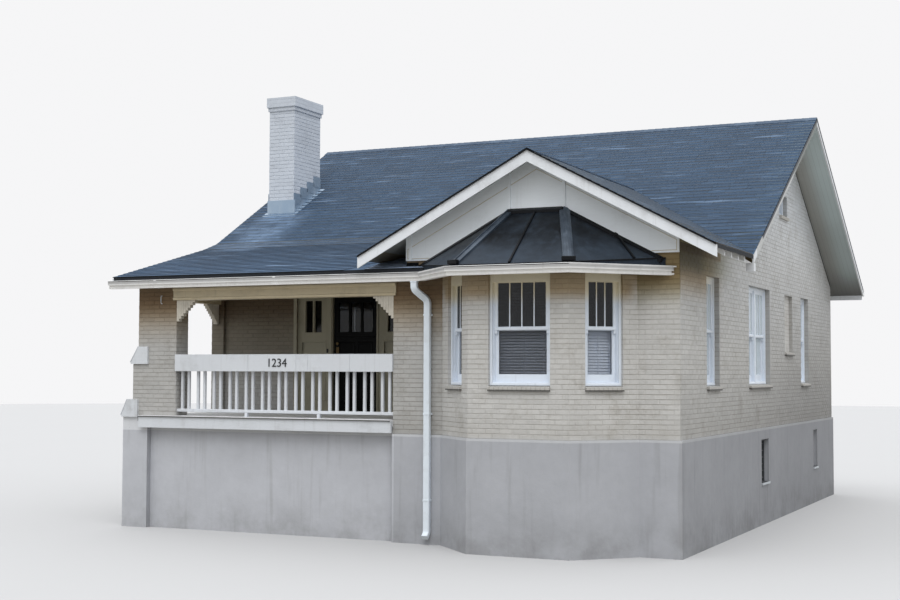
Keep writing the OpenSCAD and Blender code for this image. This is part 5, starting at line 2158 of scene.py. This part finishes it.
@dataclass
class WindowJoinery(SubAssembly):
    """Bars, horns, beads, mouldings, locks and blinds of the sash windows.

    Attributes:
        frame_w, sash_w: widths of the frame and of a sash's members, metres.
        face, parting: how far the frame and the parting of the sashes stand in the wall.
        rail, bar_w, bead: heights or widths of the bottom rail, a bar and a bead.
        slat_gap, slat_w: pitch and width of the blinds' slats.
    """
    frame_w: float = 0.055
    sash_w: float = 0.042
    face: float = -0.090
    parting: float = -0.135
    rail: float = 0.101
    bar_w: float = 0.018
    bead: float = 0.010
    slat_gap: float = 0.042
    slat_w: float = 0.048

    def sashes(self, x0: float, x1: float, bottom: float, mid: float, top: float,
               lites: int) -> list[Piece]:
        """Bars, beads, rails, horns and lock of one unit's two sashes.

        Args:
            x0, x1: sides of the glass, metres.
            bottom, mid, top: heights of the lower sash, the meeting rails and the upper glass.
            lites: panes side by side in the upper sash.

        Returns:
            The pieces.
        """
        y, meet, half = self.parting, self.sash_w / 2, self.bar_w / 2
        pieces = []
        for i in range(1, lites):
            x = x0 + (x1 - x0) * i / lites
            pieces.append(BENCH.block(
                (x - half, y + 0.004, mid + meet - 0.004), (x + half, y + 0.031, top + 0.004),
                0.006, 2, lambda a, b: min(a.y, b.y) > y + 0.03 and abs(a.z - b.z) > 0.01))
        for low, high, front in ((mid + meet, top, y + 0.033),
                                 (bottom + self.rail, mid - meet, y - 0.002)):
            pieces.append(BENCH.ring((x0 - 0.002, front - 0.014, low - 0.002),
                                     (x1 + 0.002, front, high + 0.002), self.bead, 0.004))
        pieces.append(BENCH.block((x0 - 0.004, y - 0.030, bottom - 0.004),
                                  (x1 + 0.004, y - 0.001, bottom + self.rail), 0.003))
        pieces.append(BENCH.block((x0 - self.sash_w, y + 0.030, mid - meet),
                                  (x1 + self.sash_w, y + 0.044, mid + meet * 0.9), 0.006, 2))
        for x in (x0 - self.sash_w + 0.002, x1 + 0.004):
            pieces.append(BENCH.block(
                (x, y, mid - meet - 0.060),
                (x + self.sash_w - 0.006, y + 0.033, mid - meet + 0.002),
                0.020, 4, lambda a, b: max(a.z, b.z) < mid - meet - 0.05 and abs(a.x - b.x) > 0.01))
        return pieces

    def joinery(self, unit: Opening, casing: bool) -> Piece:
        """Wooden details of one unit, in the wall's own axes.

        Args:
            unit: the window.
            casing: whether a moulding fills most of the recess in front of the frame.

        Returns:
            The joined piece.
        """
        edge, y = self.frame_w + self.sash_w, self.face
        mid, meet = (unit.low + unit.high) / 2, self.sash_w / 2
        left, right = unit.start, unit.start + unit.width
        x0, x1, middle = left + edge, right - edge, (left + right) / 2
        top = unit.high - max(edge, unit.head)
        depth = 0.045 if casing else 0.014
        pieces = self.sashes(x0, x1, unit.low + self.frame_w, mid, top, unit.lites)
        pieces.append(BENCH.block(
            (left + 0.004, y - 0.03, unit.low), (right - 0.004, y + 0.020, unit.low + 0.038),
            0.012, 3, lambda a, b: min(a.y, b.y) > y and abs(a.x - b.x) > 0.1))
        if unit.head:
            pieces.append(BENCH.block((left, self.parting + 0.002, top),
                                      (right, y + depth - 0.004, unit.high), 0.003))
        pieces.append(BENCH.ring((left, y, unit.low + 0.002), (right, y + depth, unit.high),
                                 0.040, 0.008, 2))
        pieces.append(BENCH.block((middle - 0.030, self.parting - 0.030, mid + meet),
                                  (middle + 0.030, self.parting + 0.004, mid + meet + 0.012),
                                  0.005, 2))
        return BENCH.join(pieces)

    def blind(self, unit: Opening) -> Piece:
        """A slatted blind behind the sashes, in the wall's own axes.

        Args:
            unit: the window.

        Returns:
            The joined piece.
        """
        x0, x1, y = unit.start + 0.035, unit.start + unit.width - 0.035, self.face - 0.135
        low, high, half = unit.low + 0.02, unit.high - 0.06, self.slat_w / 2
        tilt = math.radians(unit.slats.value)
        slat = BENCH.sheet(((x0, -half, 0), (x1, -half, 0), (x1, half, 0), (x0, half, 0)), 4)
        for v in slat.data.vertices:
            run = v.co.y
            crown = 0.003 * (1 - (run / half) ** 2)
            v.co.y = run * math.cos(tilt) - crown * math.sin(tilt) + y
            v.co.z = crown * math.cos(tilt) - run * math.sin(tilt) + low + 0.05
        BENCH.thicken(slat, 0.0012)
        BENCH.array(slat, int((high - low - 0.09) / self.slat_gap), (0, 0, self.slat_gap))
        BENCH.smooth(slat, 60)
        pieces = [slat]
        for z0, z1 in ((low, low + 0.022), (high - 0.045, high)):
            pieces.append(BENCH.block((x0, y - 0.024, z0), (x1, y + 0.024, z1), 0.005, 2))
        for share in (0.16, 0.5, 0.84):
            x = x0 + (x1 - x0) * share
            for tape in (y - 0.025, y + 0.025):
                pieces.append(BENCH.block((x - 0.004, tape - 0.0008, low),
                                          (x + 0.004, tape + 0.0008, high), 0.0004))
        return BENCH.join(pieces)

    def set_up(self, name: str, units: Sequence[Opening], casing: bool = False) -> None:
        """Builds each kind of unit once and copies it to its places.

        Args:
            name: start of the pieces' names.
            units: the windows.
            casing: see joinery.
        """
        kinds: dict[Opening, tuple[Piece, Piece]] = {}
        joinery, blinds = [], []
        for unit in units:
            kind = replace(unit, side=Side.RIGHT, start=0.0)
            if kind not in kinds:
                kinds[kind] = (self.joinery(kind, casing), self.blind(kind))
            spot = wall_frame(unit.side) @ Matrix.Translation((unit.start, 0, 0))
            joinery.append(BENCH.copy(kinds[kind][0], spot))
            blinds.append(BENCH.copy(kinds[kind][1], spot))
        for pattern in (piece for pair in kinds.values() for piece in pair):
            bpy.data.objects.remove(pattern)
        self.fit(f"{name}_joinery", joinery, self.finishes.frames, "window_frame")
        self.fit(f"{name}_blinds", blinds, self.finishes.slats, "window_frame")

    def attic_bars(self) -> None:
        """A cross of bars and a bead in each small gable window."""
        s, y, pieces = SIZES, self.face - 0.045, []
        mid, width = s.ridge_y * MM, 2 * s.attic_half * MM
        start, end = mid - width / 2, mid + width / 2
        low, high = s.attic_low * MM + 0.075, s.attic_high * MM
        level, edge = (low + high) / 2, self.frame_w - 0.004
        for side in (Side.RIGHT, Side.LEFT):
            bars = [BENCH.block((mid - 0.012, y - 0.012, low + edge),
                                (mid + 0.012, y + 0.014, high - edge), 0.004),
                    BENCH.block((start + edge, y - 0.010, level - 0.010),
                                (end - edge, y + 0.012, level + 0.010), 0.004),
                    BENCH.ring((start, self.face, low + 0.002), (end, self.face + 0.014, high),
                               0.040, 0.005)]
            pieces += [BENCH.move(bar, wall_frame(side)) for bar in bars]
        self.fit("attic_window_bars", pieces, self.finishes.frames, "window_frame")

    def build(self) -> None:
        """Builds and dresses the windows' details."""
        rear = [(-start - width, width) for start, width in reversed(REAR_ROWS)]
        self.set_up("bay", bay_openings(), True)
        self.set_up("right", openings(Side.RIGHT, RIGHT_ROWS))
        self.set_up("back", openings(Side.LEFT, LEFT_ROWS) + openings(Side.REAR, rear))
        self.attic_bars()


def eave_path(reach: float = 0.1) -> list[Vector]:
    """The edge of the front eaves, from the left end to past the right end.

    Args:
        reach: how far past the last corner it runs, metres.

    Returns:
        Points at the height of the ledge.
    """
    s = SIZES
    b = BayRoofMetal
    turn = s.wing_mid - b.side_half + (b.side_half - b.eave_half) * s.eave_y / b.eave_y
    points = [place(x, y, 0) for x, y in (
        (s.roof_left + 1, s.eave_y), (turn, s.eave_y), (s.wing_mid - b.eave_half, b.eave_y),
        (s.wing_mid + b.eave_half, b.eave_y), (s.wing_mid + b.side_half, 0))]
    points[-1] += (points[-1] - points[-2]).normalized() * reach
    return points


@dataclass
class Rainwater(SubAssembly):
    """The gutter's rolled lip, its joints and the smooth bent downspout.

    Attributes:
        roof_edge: thickness of the main roof's eaves, millimetres.
        pipe_x, pipe_y: the downspout's middle under the gutter.
        wall_x, wall_y: its middle against the wall.
        top, bend_high, bend_low, low: heights of its ends and bends.
        half_w, half_d: half of its width and depth, metres.
        lip_z, lip_y: place of the lip, metres.
        joints: places of the gutter's joints, millimetres.
        hangers: how many hangers it has.
    """
    roof_edge: float = 130
    pipe_x: float = -4055
    pipe_y: float = -242
    wall_x: float = -3910
    wall_y: float = -77.5
    top: float = 2329
    bend_high: float = 2200
    bend_low: float = 2035
    low: float = -1535
    half_w: float = 0.050
    half_d: float = 0.0375
    lip_z: float = 2.450
    lip_y: float = 0.120
    joints: Pair = (-8800, -6500)
    hangers: int = 8

    def lip(self) -> list[Piece]:
        """Rolled lip and a pressed rib along the gutter, cut square at the wall.

        Returns:
            The strips.
        """
        y, z = self.lip_y, self.lip_z
        roll = [(y - 0.016, z - 0.012), (y, z - 0.012), (y, z + 0.004), (y - 0.004, z + 0.008),
                (y - 0.012, z + 0.008), (y - 0.016, z + 0.004)]
        rib = [(0.080, 2.329), (0.0855, 2.333), (0.0875, 2.345), (0.0855, 2.357), (0.080, 2.361)]
        return [BENCH.cut(BENCH.strip(eave_path(), profile), place(0, 0, 0), -OUT, fill=True)
                for profile in (roll, rib)]

    def seams(self) -> list[Piece]:
        """Lapped joints and hangers of the gutter.

        Returns:
            The pieces.
        """
        pieces = []
        for x in self.joints:
            for y0, y1, z0, z1, bevel in ((-321.5, -200, 2322, 2326, 0.0015),
                                          (-285.5, -283, 2323, 2388, 0.001),
                                          (-321.5, -319, 2386, 2452, 0.001)):
                pieces.append(BENCH.block(place(x - 25, y0, z0), place(x + 25, y1, z1), bevel))
        for i in range(self.hangers):
            x = SIZES.roof_left + 300 + i * 600
            pieces.append(BENCH.block(place(x, -316, 2438), place(x + 22, -206, 2446), 0.002))
        return pieces

    def pipe(self) -> list[Piece]:
        """The downspout: out of the gutter, back in two round bends, and down to its shoe.

        Returns:
            The pipe with its straps.
        """
        px, py, wx, wy = self.pipe_x, self.pipe_y, self.wall_x, self.wall_y
        corners = [place(*corner) for corner in (
            (px, py, self.top), (px, py, self.bend_high), (wx, wy, self.bend_low),
            (wx, wy, self.low + 60), (wx, wy - 70, self.low))]
        path = [corners[0]]
        for before, spot, after in zip(corners, corners[1:], corners[2:]):
            back = (before - spot).normalized() * 0.055
            ahead = (after - spot).normalized() * 0.055
            path += [spot + back * (1 - k / 6) ** 2 + ahead * (k / 6) ** 2 for k in range(7)]
        path.append(corners[-1])
        w, d, r = self.half_w, self.half_d, 0.010
        profile = []
        for x, y, start in ((w - r, d - r, 0), (r - w, d - r, 90), (r - w, r - d, 180),
                            (w - r, r - d, 270)):
            for angle in range(start, start + 91, 30):
                a = math.radians(angle)
                profile.append((x + r * math.cos(a), y + r * math.sin(a)))
        pipe = BENCH.strip(path, profile, OUT)
        BENCH.smooth(pipe, 50)
        straps = [BENCH.block(place(wx - 54, wy - 41, z), place(wx + 54, 0, z + 32), 0.004, 2)
                  for z in (300, 1800, -1000)]
        collar = BENCH.block(place(px - 57, py - 43, self.top - 26),
                             place(px + 57, py + 40, self.top - 4), 0.006, 2)
        return [pipe, *straps, collar]

    def rear_board(self) -> Piece:
        """The board behind the rear gutter, which shows below the soffit.

        Returns:
            The board.
        """
        s = SIZES
        edge = s.main_z(s.roof_back) - self.roof_edge
        return BENCH.block(place(s.roof_left + 30, s.roof_back - 28, edge - 80),
                           place(s.roof_right - 30, s.roof_back - 3, edge + 20), 0.003)

    def build(self) -> None:
        """Builds and dresses the rainwater goods."""
        f = self.finishes
        self.fit("rear_board", [self.rear_board()], f.trim, "trim")
        self.fit("gutter_lip", self.lip(), f.gutter, "gutter")
        self.fit("gutter_joints", self.seams(), f.gutter, "gutter")
        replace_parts(self.fit("downspout_pipe", self.pipe(), f.pipe, "gutter"), "downspout")


@dataclass
class PorchJoinery(SubAssembly):
    """Brackets, railing, planter boards, numerals and small trim of the porch.

    Attributes:
        left, pier, right: ends of the porch and the pier's side, millimetres.
        beam_z, beam_y: underside and front of the beam.
        planter_top, planter_low: heights of the planter's boards.
        seams: places of their open joints.
        pairs, pair_gap, stick: the railing's pairs of sticks, their pitch and width.
        rail_z, rail_h, rail_y, rail_d: place and size of the bottom rail.
        numerals: the plain number on the planter.
    """
    left: float = -9350
    pier: float = -8585
    right: float = -4530
    beam_z: float = 2160
    beam_y: float = -25
    planter_top: float = 1215
    planter_low: float = 955
    seams: tuple[float, ...] = (-7164, -6250, -6040, -5280)
    pairs: int = 13
    pair_gap: float = 128
    stick: float = 45
    rail_z: float = 281
    rail_h: float = 50
    rail_y: float = 40
    rail_d: float = 70
    numerals: str = "1234"

    def bracket(self) -> Piece:
        """One stepped bracket of upright boards, hanging from the origin along x.

        Returns:
            The bracket.
        """
        length, pitch, drop, depth = 0.360, 0.045, 0.040, 0.090
        boards = []
        for i in range(round(length / pitch)):
            x0 = length - (i + 1) * pitch
            boards.append(BENCH.block((x0, 0, -drop - i * pitch), (x0 + pitch, depth, 0), 0.0045))
        return BENCH.join(boards)

    def brackets(self) -> None:
        """Copies the bracket to its three places, in place of the plain ones."""
        pattern = self.bracket()
        top = self.beam_z - 30
        mirror = Matrix.Diagonal((-1, 1, 1, 1))
        copies = [BENCH.copy(pattern, spot) for spot in (
            Matrix.Translation(place(self.pier, 0, top)),
            Matrix.Translation(place(self.right, 0, top)) @ mirror,
            axes(OUT, (1, 0, 0), UP, place(self.left + 60, 2140, self.beam_z)))]
        bpy.data.objects.remove(pattern)
        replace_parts(self.fit("bracket_boards", copies, self.finishes.bracket, "trim"),
                    "porch_brackets")

    def railing(self) -> None:
        """Bottom rail, paired sticks and feet with eased edges."""
        y0, z0, z1 = self.rail_y, self.rail_z, self.rail_z + self.rail_h
        width, run = self.stick * MM, self.right - self.pier
        pieces = [BENCH.block(place(self.pier, y0, z0), place(self.right, y0 + self.rail_d, z1),
                              0.007, 2, lambda a, b: abs(a.x - b.x) > 1)]
        stick = BENCH.block((-width / 2, 0, 0), (width / 2, width, (self.planter_low - z1) * MM),
                            0.004, 1, lambda a, b: abs(a.z - b.z) > 0.1)
        for i in range(self.pairs):
            for side in (-1, 1):
                x = self.pier + (i + 0.5) * run / self.pairs + side * self.pair_gap / 2
                pieces.append(BENCH.copy(stick, Matrix.Translation(place(x, y0 + 10, z1))))
        bpy.data.objects.remove(stick)
        for share in (1 / 3, 2 / 3):
            x = self.pier + share * run
            pieces.append(BENCH.block(place(x - 25, y0, SIZES.porch_floor),
                                      place(x + 25, y0 + self.rail_d, z0), 0.005))
        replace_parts(self.fit("railing_sticks", pieces, self.finishes.rail, "trim"),
                    "porch_railing")

    def planter(self) -> None:
        """Front boards of the planter with open joints, and a cap on its edge."""
        ends, y, top = [self.pier, *self.seams, self.right], self.beam_y, self.planter_top
        boards = [BENCH.block(place(x0 + 1, y - 12, self.planter_low - 4),
                              place(x1 - 1, y, top), 0.003) for x0, x1 in zip(ends, ends[1:])]
        self.fit("planter_boards", boards, self.finishes.rail, "panel")
        rim = BENCH.block(place(self.pier, y - 12, top), place(self.right, 215, top + 12))
        rim = BENCH.bevel(BENCH.pierce(rim, 0.045, 2), 0.003)
        self.fit("planter_rim", [rim], self.finishes.rail, "panel")

    def number(self) -> None:
        """Plain generic numerals on the planter."""
        BENCH.rest()
        bpy.ops.object.text_add(location=(0, 0, 0))
        text = bpy.context.object.data
        text.body = self.numerals
        text.size = 0.19
        text.extrude = 0.004
        text.align_x = "CENTER"
        bpy.ops.object.convert(target="MESH")
        piece = bpy.context.object
        low = min(v.co.y for v in piece.data.vertices)
        spot = upright(place(-6605, self.beam_y - 16, 1025))
        BENCH.move(piece, spot @ Matrix.Translation((0, -low, 0)))
        self.fit("plain_numerals", [BENCH.outward(piece)], self.finishes.ink, "door_paint")

    def mouldings(self) -> None:
        """Bed moulding and end blocks of the beam, and the hook on the pier."""
        y = -self.beam_y * MM
        ogee = [(y - 0.005, 2.128), (y + 0.006, 2.128), (y + 0.010, 2.138), (y + 0.016, 2.146),
                (y + 0.018, 2.158), (y + 0.018, 2.166), (y, 2.172), (y - 0.005, 2.172)]
        bed = [(y - 0.005, 2.276), (y + 0.006, 2.276), (y + 0.022, 2.296), (y + 0.028, 2.322),
               (y - 0.005, 2.322)]
        line = [place(self.pier - 50, 0, 0), place(self.right + 50, 0, 0)]
        self.fit("beam_mouldings", [BENCH.strip(line, profile) for profile in (ogee, bed)],
                 self.finishes.tan_trim, "trim")
        hook = [place(x, y, z) for x, y, z in (
            (-8880, 0, 2205), (-8880, -26, 2205), (-8880, -34, 2185), (-8880, -34, 2100),
            (-8872, -34, 2076), (-8850, -34, 2072))]
        angles = (math.radians(angle) for angle in range(0, 360, 60))
        wire = [(0.007 * math.cos(a), 0.007 * math.sin(a)) for a in angles]
        self.fit("pier_hook", [BENCH.strip(hook, wire, Vector((1, 0, 0)))], self.finishes.rail,
                 "trim")

    def caps(self) -> None:
        """Boards over the sloping tops of the two pier caps."""
        boards = []
        middle = Vector((0, 0.06775, 0))
        for foot, head, low, high in ((-133, 23, 1100, 1362), (-318, -195, 214, 476)):
            for y in (-42, 95, 232):
                a = place(self.left + foot - 6, y, low - 2)
                b = place(self.left + head - 2, y, high)
                up = upward((b - a).cross(middle).normalized())
                boards.append(BENCH.bar(a + middle, b + middle, 0.1345, 0.012, up, 0.003))
        self.fit("cap_boards", boards, self.finishes.caps, "cap_paint")

    def build(self) -> None:
        """Builds and dresses the porch's joinery."""
        self.brackets()
        self.railing()
        self.planter()
        self.number()
        self.mouldings()
        self.caps()


@dataclass
class Entry(SubAssembly):
    """Mouldings, hardware and bell of the front door and its sidelights, in millimetres.

    Attributes:
        door_x, door_w, door_y: place, width and face of the door leaf.
        leaf_z: height of its foot.
        stile: width of its frame.
        lite_z, lite_w, lite_h: foot, width and height of the panes.
        panel_top: height of the panels' tops.
        left, right, front: sides and face of the entry frame.
        side_w: width of a sidelight.
    """
    door_x: float = -6880
    door_w: float = 860
    door_y: float = 2290
    leaf_z: float = 251
    stile: float = 90
    lite_z: float = 1640
    lite_w: float = 150
    lite_h: float = 560
    panel_top: float = 1490
    left: float = -7590
    right: float = -5310
    front: float = 2240
    side_w: float = 640

    def rings(self, spots: Sequence[Box], y: float, width: float, depth: float) -> list[Piece]:
        """Bevelled mouldings round panels or panes.

        Args:
            spots: left, right, low and high of each, millimetres.
            y: the face that they stand on, millimetres.
            width: width of a moulding, metres.
            depth: how far it stands out, millimetres.

        Returns:
            The mouldings.
        """
        return [BENCH.ring(place(x0, y - depth, z0), place(x1, y + 4, z1), width, width * 0.32,
                           2, -1) for x0, x1, z0, z1 in spots]

    def leaf(self) -> None:
        """Mouldings and hardware that swing with the door."""
        f, y, foot = self.finishes, self.door_y, self.leaf_z
        x0, x1 = self.door_x + self.stile, self.door_x + self.door_w - self.stile
        pitch = (self.door_w - 2 * self.stile + 30) / 3
        lites = [(x0 + i * pitch - 8, x0 + (i + 1) * pitch - 22, self.lite_z - 8,
                  self.lite_z + self.lite_h - 32) for i in range(3)]
        low, high, mid = foot + 220, self.panel_top - 20, (x0 + x1) / 2
        panels = [(x0 + 10, mid - 20, low, high), (mid + 20, x1 - 10, low, high)]
        pieces = self.rings(lites, y, 0.012, 6) + self.rings(panels, y + 10, 0.030, 8)
        pieces.append(BENCH.block(place(x0 - 40, y - 24, 1540), place(x1 + 40, y + 2, 1575),
                                  0.008, 2))
        self.fit("door_mouldings", pieces, f.door, "door_paint", "door")
        x = self.door_x + 70
        plate = BENCH.block(place(x - 28, y - 4, foot + 880), place(x + 28, y + 1, foot + 1130),
                            0.003, 2)
        bolt = BENCH.stud(0.026, 0.018, 24, 0.004, 2, upright(place(x, y, foot + 1190)))
        self.fit("door_hardware", [plate, bolt], f.brass, "knob", "door")

    def surround(self) -> None:
        """Mouldings of the sidelights, casing boards, sill and bell."""
        y, low, high = self.front, self.lite_z - 10, self.lite_z + self.lite_h + 10
        spots, panels = [], []
        for x0 in (self.left, self.right - self.side_w):
            for i in range(2):
                x = x0 + self.side_w / 2 - self.lite_w - 15 + i * (self.lite_w + 30)
                spots.append((x - 10, x + self.lite_w + 10, low, high))
            panels.append((x0 + 65, x0 + self.side_w - 65, 446, self.panel_top))
        pieces = self.rings(spots, y, 0.012, 6) + self.rings(panels, y + 1, 0.024, 8)
        door_end = self.door_x + self.door_w
        for x0, x1, y0, y1, z0, z1, bevel in (
                (self.left - 60, self.left + 6, 2184, 2206, SIZES.porch_floor, 2416, 0.004),
                (self.right - 6, self.right + 60, 2184, 2206, SIZES.porch_floor, 2416, 0.004),
                (self.left - 75, self.right + 75, 2178, 2206, 2352, 2386, 0.006),
                (self.door_x - 46, self.door_x - 20, y - 16, y + 2, 246, 2300, 0.006),
                (door_end + 20, door_end + 46, y - 16, y + 2, 246, 2300, 0.006)):
            pieces.append(BENCH.block(place(x0, y0, z0), place(x1, y1, z1), bevel, 2))
        self.fit("entry_mouldings", pieces, self.finishes.entry, "entry_paint")
        x = self.left + 606
        bell = BENCH.block(place(x - 16, y - 14, 1280), place(x + 16, y + 2, 1350), 0.006, 2)
        button = BENCH.stud(0.009, 0.006, 16, 0.002, 1, upright(place(x, y - 14, 1315)))
        self.fit("door_bell", [bell, button], self.finishes.ink, "door_paint")

    def build(self) -> None:
        """Builds and dresses the entry's details."""
        self.leaf()
        self.surround()


@dataclass
class ChimneyTop(SubAssembly):
    """Flue liners and lapped flashings of the chimney.

    Attributes:
        x0, x1, y0, y1: sides of the stack, millimetres.
        top: height of the flues' mouths.
        edge: width of the brick round them.
        steps: how many sheets step up a side.
        sheet: thickness of a sheet.
    """
    x0: float = -9370
    x1: float = -8810
    y0: float = 4060
    y1: float = 5050
    top: float = 6290
    edge: float = 130
    steps: int = 4
    sheet: float = 5

    def liners(self) -> None:
        """Clay liners that stand inside the two flues."""
        liners = []
        flue = (self.y1 - self.y0 - 3 * self.edge) / 2
        for y in (self.y0 + self.edge, self.y0 + (self.y1 - self.y0 + self.edge) / 2):
            liner = BENCH.block(place(self.x0 + self.edge + 3, y + 3, self.top - 590),
                                place(self.x1 - self.edge - 3, y + flue - 3, self.top - 6))
            liners.append(BENCH.bevel(BENCH.pierce(liner, 0.022, 2), 0.004))
        self.fit("flue_liners", liners, self.finishes.clay, "concrete")

    def flashings(self) -> None:
        """Lapped sheets that step up the sides, and an apron at the front."""
        s, sheets = SIZES, []
        pitch = (self.y1 - self.y0) / self.steps
        for x in (self.x1 + 6, self.x0 - 6 - self.sheet):
            for i in range(self.steps):
                y = self.y0 + i * pitch
                z = s.main_z(y) + 190
                sheets.append(BENCH.block(place(x, y - 12, z),
                                          place(x + self.sheet, y + pitch + 12,
                                                z + pitch * s.roof_slope + 66), 0.0012))
        z = s.main_z(self.y0)
        sheets.append(BENCH.block(place(self.x0 - 30, self.y0 - 11, z + 10),
                                  place(self.x1 + 30, self.y0 - 6, z + 262), 0.0012))
        self.fit("lapped_flashings", sheets, self.finishes.flashing, "flashing")

    def build(self) -> None:
        """Builds and dresses the chimney's details."""
        self.liners()
        self.flashings()


@dataclass
class Studio:
    """Floor, light and camera.

    Attributes:
        horizon, zenith: strength of the sky at its rim and overhead.
        sun: strength of the soft light from the front.
        sun_tilt, sun_turn, sun_width: its direction and angular size, degrees.
        spot: the camera's place, metres.
        turn, tilt, roll: the camera's direction, degrees.
        lens: focal length for a 36 mm sensor.
        backdrop: level of the pale background.
        reach: radius of the floor, metres.
    """
    horizon: float = 0.50
    zenith: float = 1.88
    sun: float = 1.15
    sun_tilt: float = 30
    sun_turn: float = 25
    sun_width: float = 40
    spot: Point = (10.05, -24.98, 2.61)
    turn: float = 25.0
    tilt: float = 2.885
    roll: float = -0.176
    lens: float = 56.72
    backdrop: float = 0.92
    reach: float = 90.0

    def seen(self, g: Graph) -> Socket:
        """1 for a ray that shows the surroundings, else 0.

        Args:
            g: the tree to work in.

        Returns:
            The switch.
        """
        path = g.node("ShaderNodeLightPath", output="Is Camera Ray")
        outputs = path.source.node.outputs
        return (path + Socket(g, outputs["Is Glossy Ray"])
                + Socket(g, outputs["Is Transmission Ray"])).capped()

    def lay_floor(self) -> None:
        """A plain pale floor that keeps the house's shadow."""
        BENCH.rest()
        bpy.ops.mesh.primitive_circle_add(vertices=96, radius=self.reach, fill_type="NGON")
        floor = bpy.context.object
        floor.name = "studio_floor"
        g = Graph(bpy.data.materials.new("studio_floor"))
        pale = g.blend(self.seen(g), (0.26, 0.245, 0.215, 1), (0.46, 0.46, 0.465, 1))
        floor.data.materials.append(g.surface(g.shade(pale, 0.99 + g.noise(0.3) * 0.02), 0.9))

    def light(self) -> None:
        """An overcast sky, slightly cool, and one large soft sun from the front right."""
        world = bpy.data.worlds.new("studio")
        bpy.context.scene.world = world
        g = Graph(world)
        shown = self.seen(g)
        pale = (self.backdrop, self.backdrop, self.backdrop * 1.01, 1)
        rise = g.split(g.spot())[2].math("MAXIMUM", 0.0)
        sky = self.horizon + rise * (self.zenith - self.horizon)
        g.end("ShaderNodeOutputWorld", g.node("ShaderNodeBackground", {}, {
            "Color": g.blend(shown, (0.96, 0.98, 1.0, 1), pale),
            "Strength": sky.math("MAXIMUM", shown)}))
        lamp = bpy.data.lights.new("sun", "SUN")
        lamp.energy = self.sun
        lamp.angle = math.radians(self.sun_width)
        lamp.color = (1.0, 0.985, 0.96)
        sun = bpy.data.objects.new("sun", lamp)
        sun.rotation_euler = (math.radians(self.sun_tilt), 0, math.radians(self.sun_turn))
        bpy.context.scene.collection.objects.link(sun)

    def film(self) -> None:
        """Sets the camera where the photograph was taken from."""
        scene = bpy.context.scene
        y, p, r = (math.radians(v) for v in (self.turn, self.tilt, self.roll))
        ahead = Vector((-math.sin(y) * math.cos(p), math.cos(y) * math.cos(p), math.sin(p)))
        right = Vector((math.cos(y), math.sin(y), 0))
        up = right.cross(ahead)
        camera = bpy.data.objects.new("camera", bpy.data.cameras.new("camera"))
        camera.data.lens = self.lens
        camera.data.sensor_width = 36
        camera.data.clip_end = 400
        camera.matrix_world = axes(right * math.cos(r) - up * math.sin(r),
                                   up * math.cos(r) + right * math.sin(r), -ahead,
                                   Vector(self.spot))
        scene.collection.objects.link(camera)
        scene.camera = camera
        scene.view_settings.view_transform = "Standard"


def main() -> None:
    """Builds the house's looks in order."""
    logging.basicConfig(level=logging.INFO, format="%(message)s")
    finishes = Finishes()
    studio = Studio()
    studio.lay_floor()
    studio.light()
    studio.film()
    Shell(finishes).dress()
    for kind in (Brickwork, GableBead, ShingleCourses, BayRoofMetal, WindowJoinery, Rainwater,
                 PorchJoinery, Entry, ChimneyTop):
        kind(finishes).build()


if __name__ == "__main__":
    main()
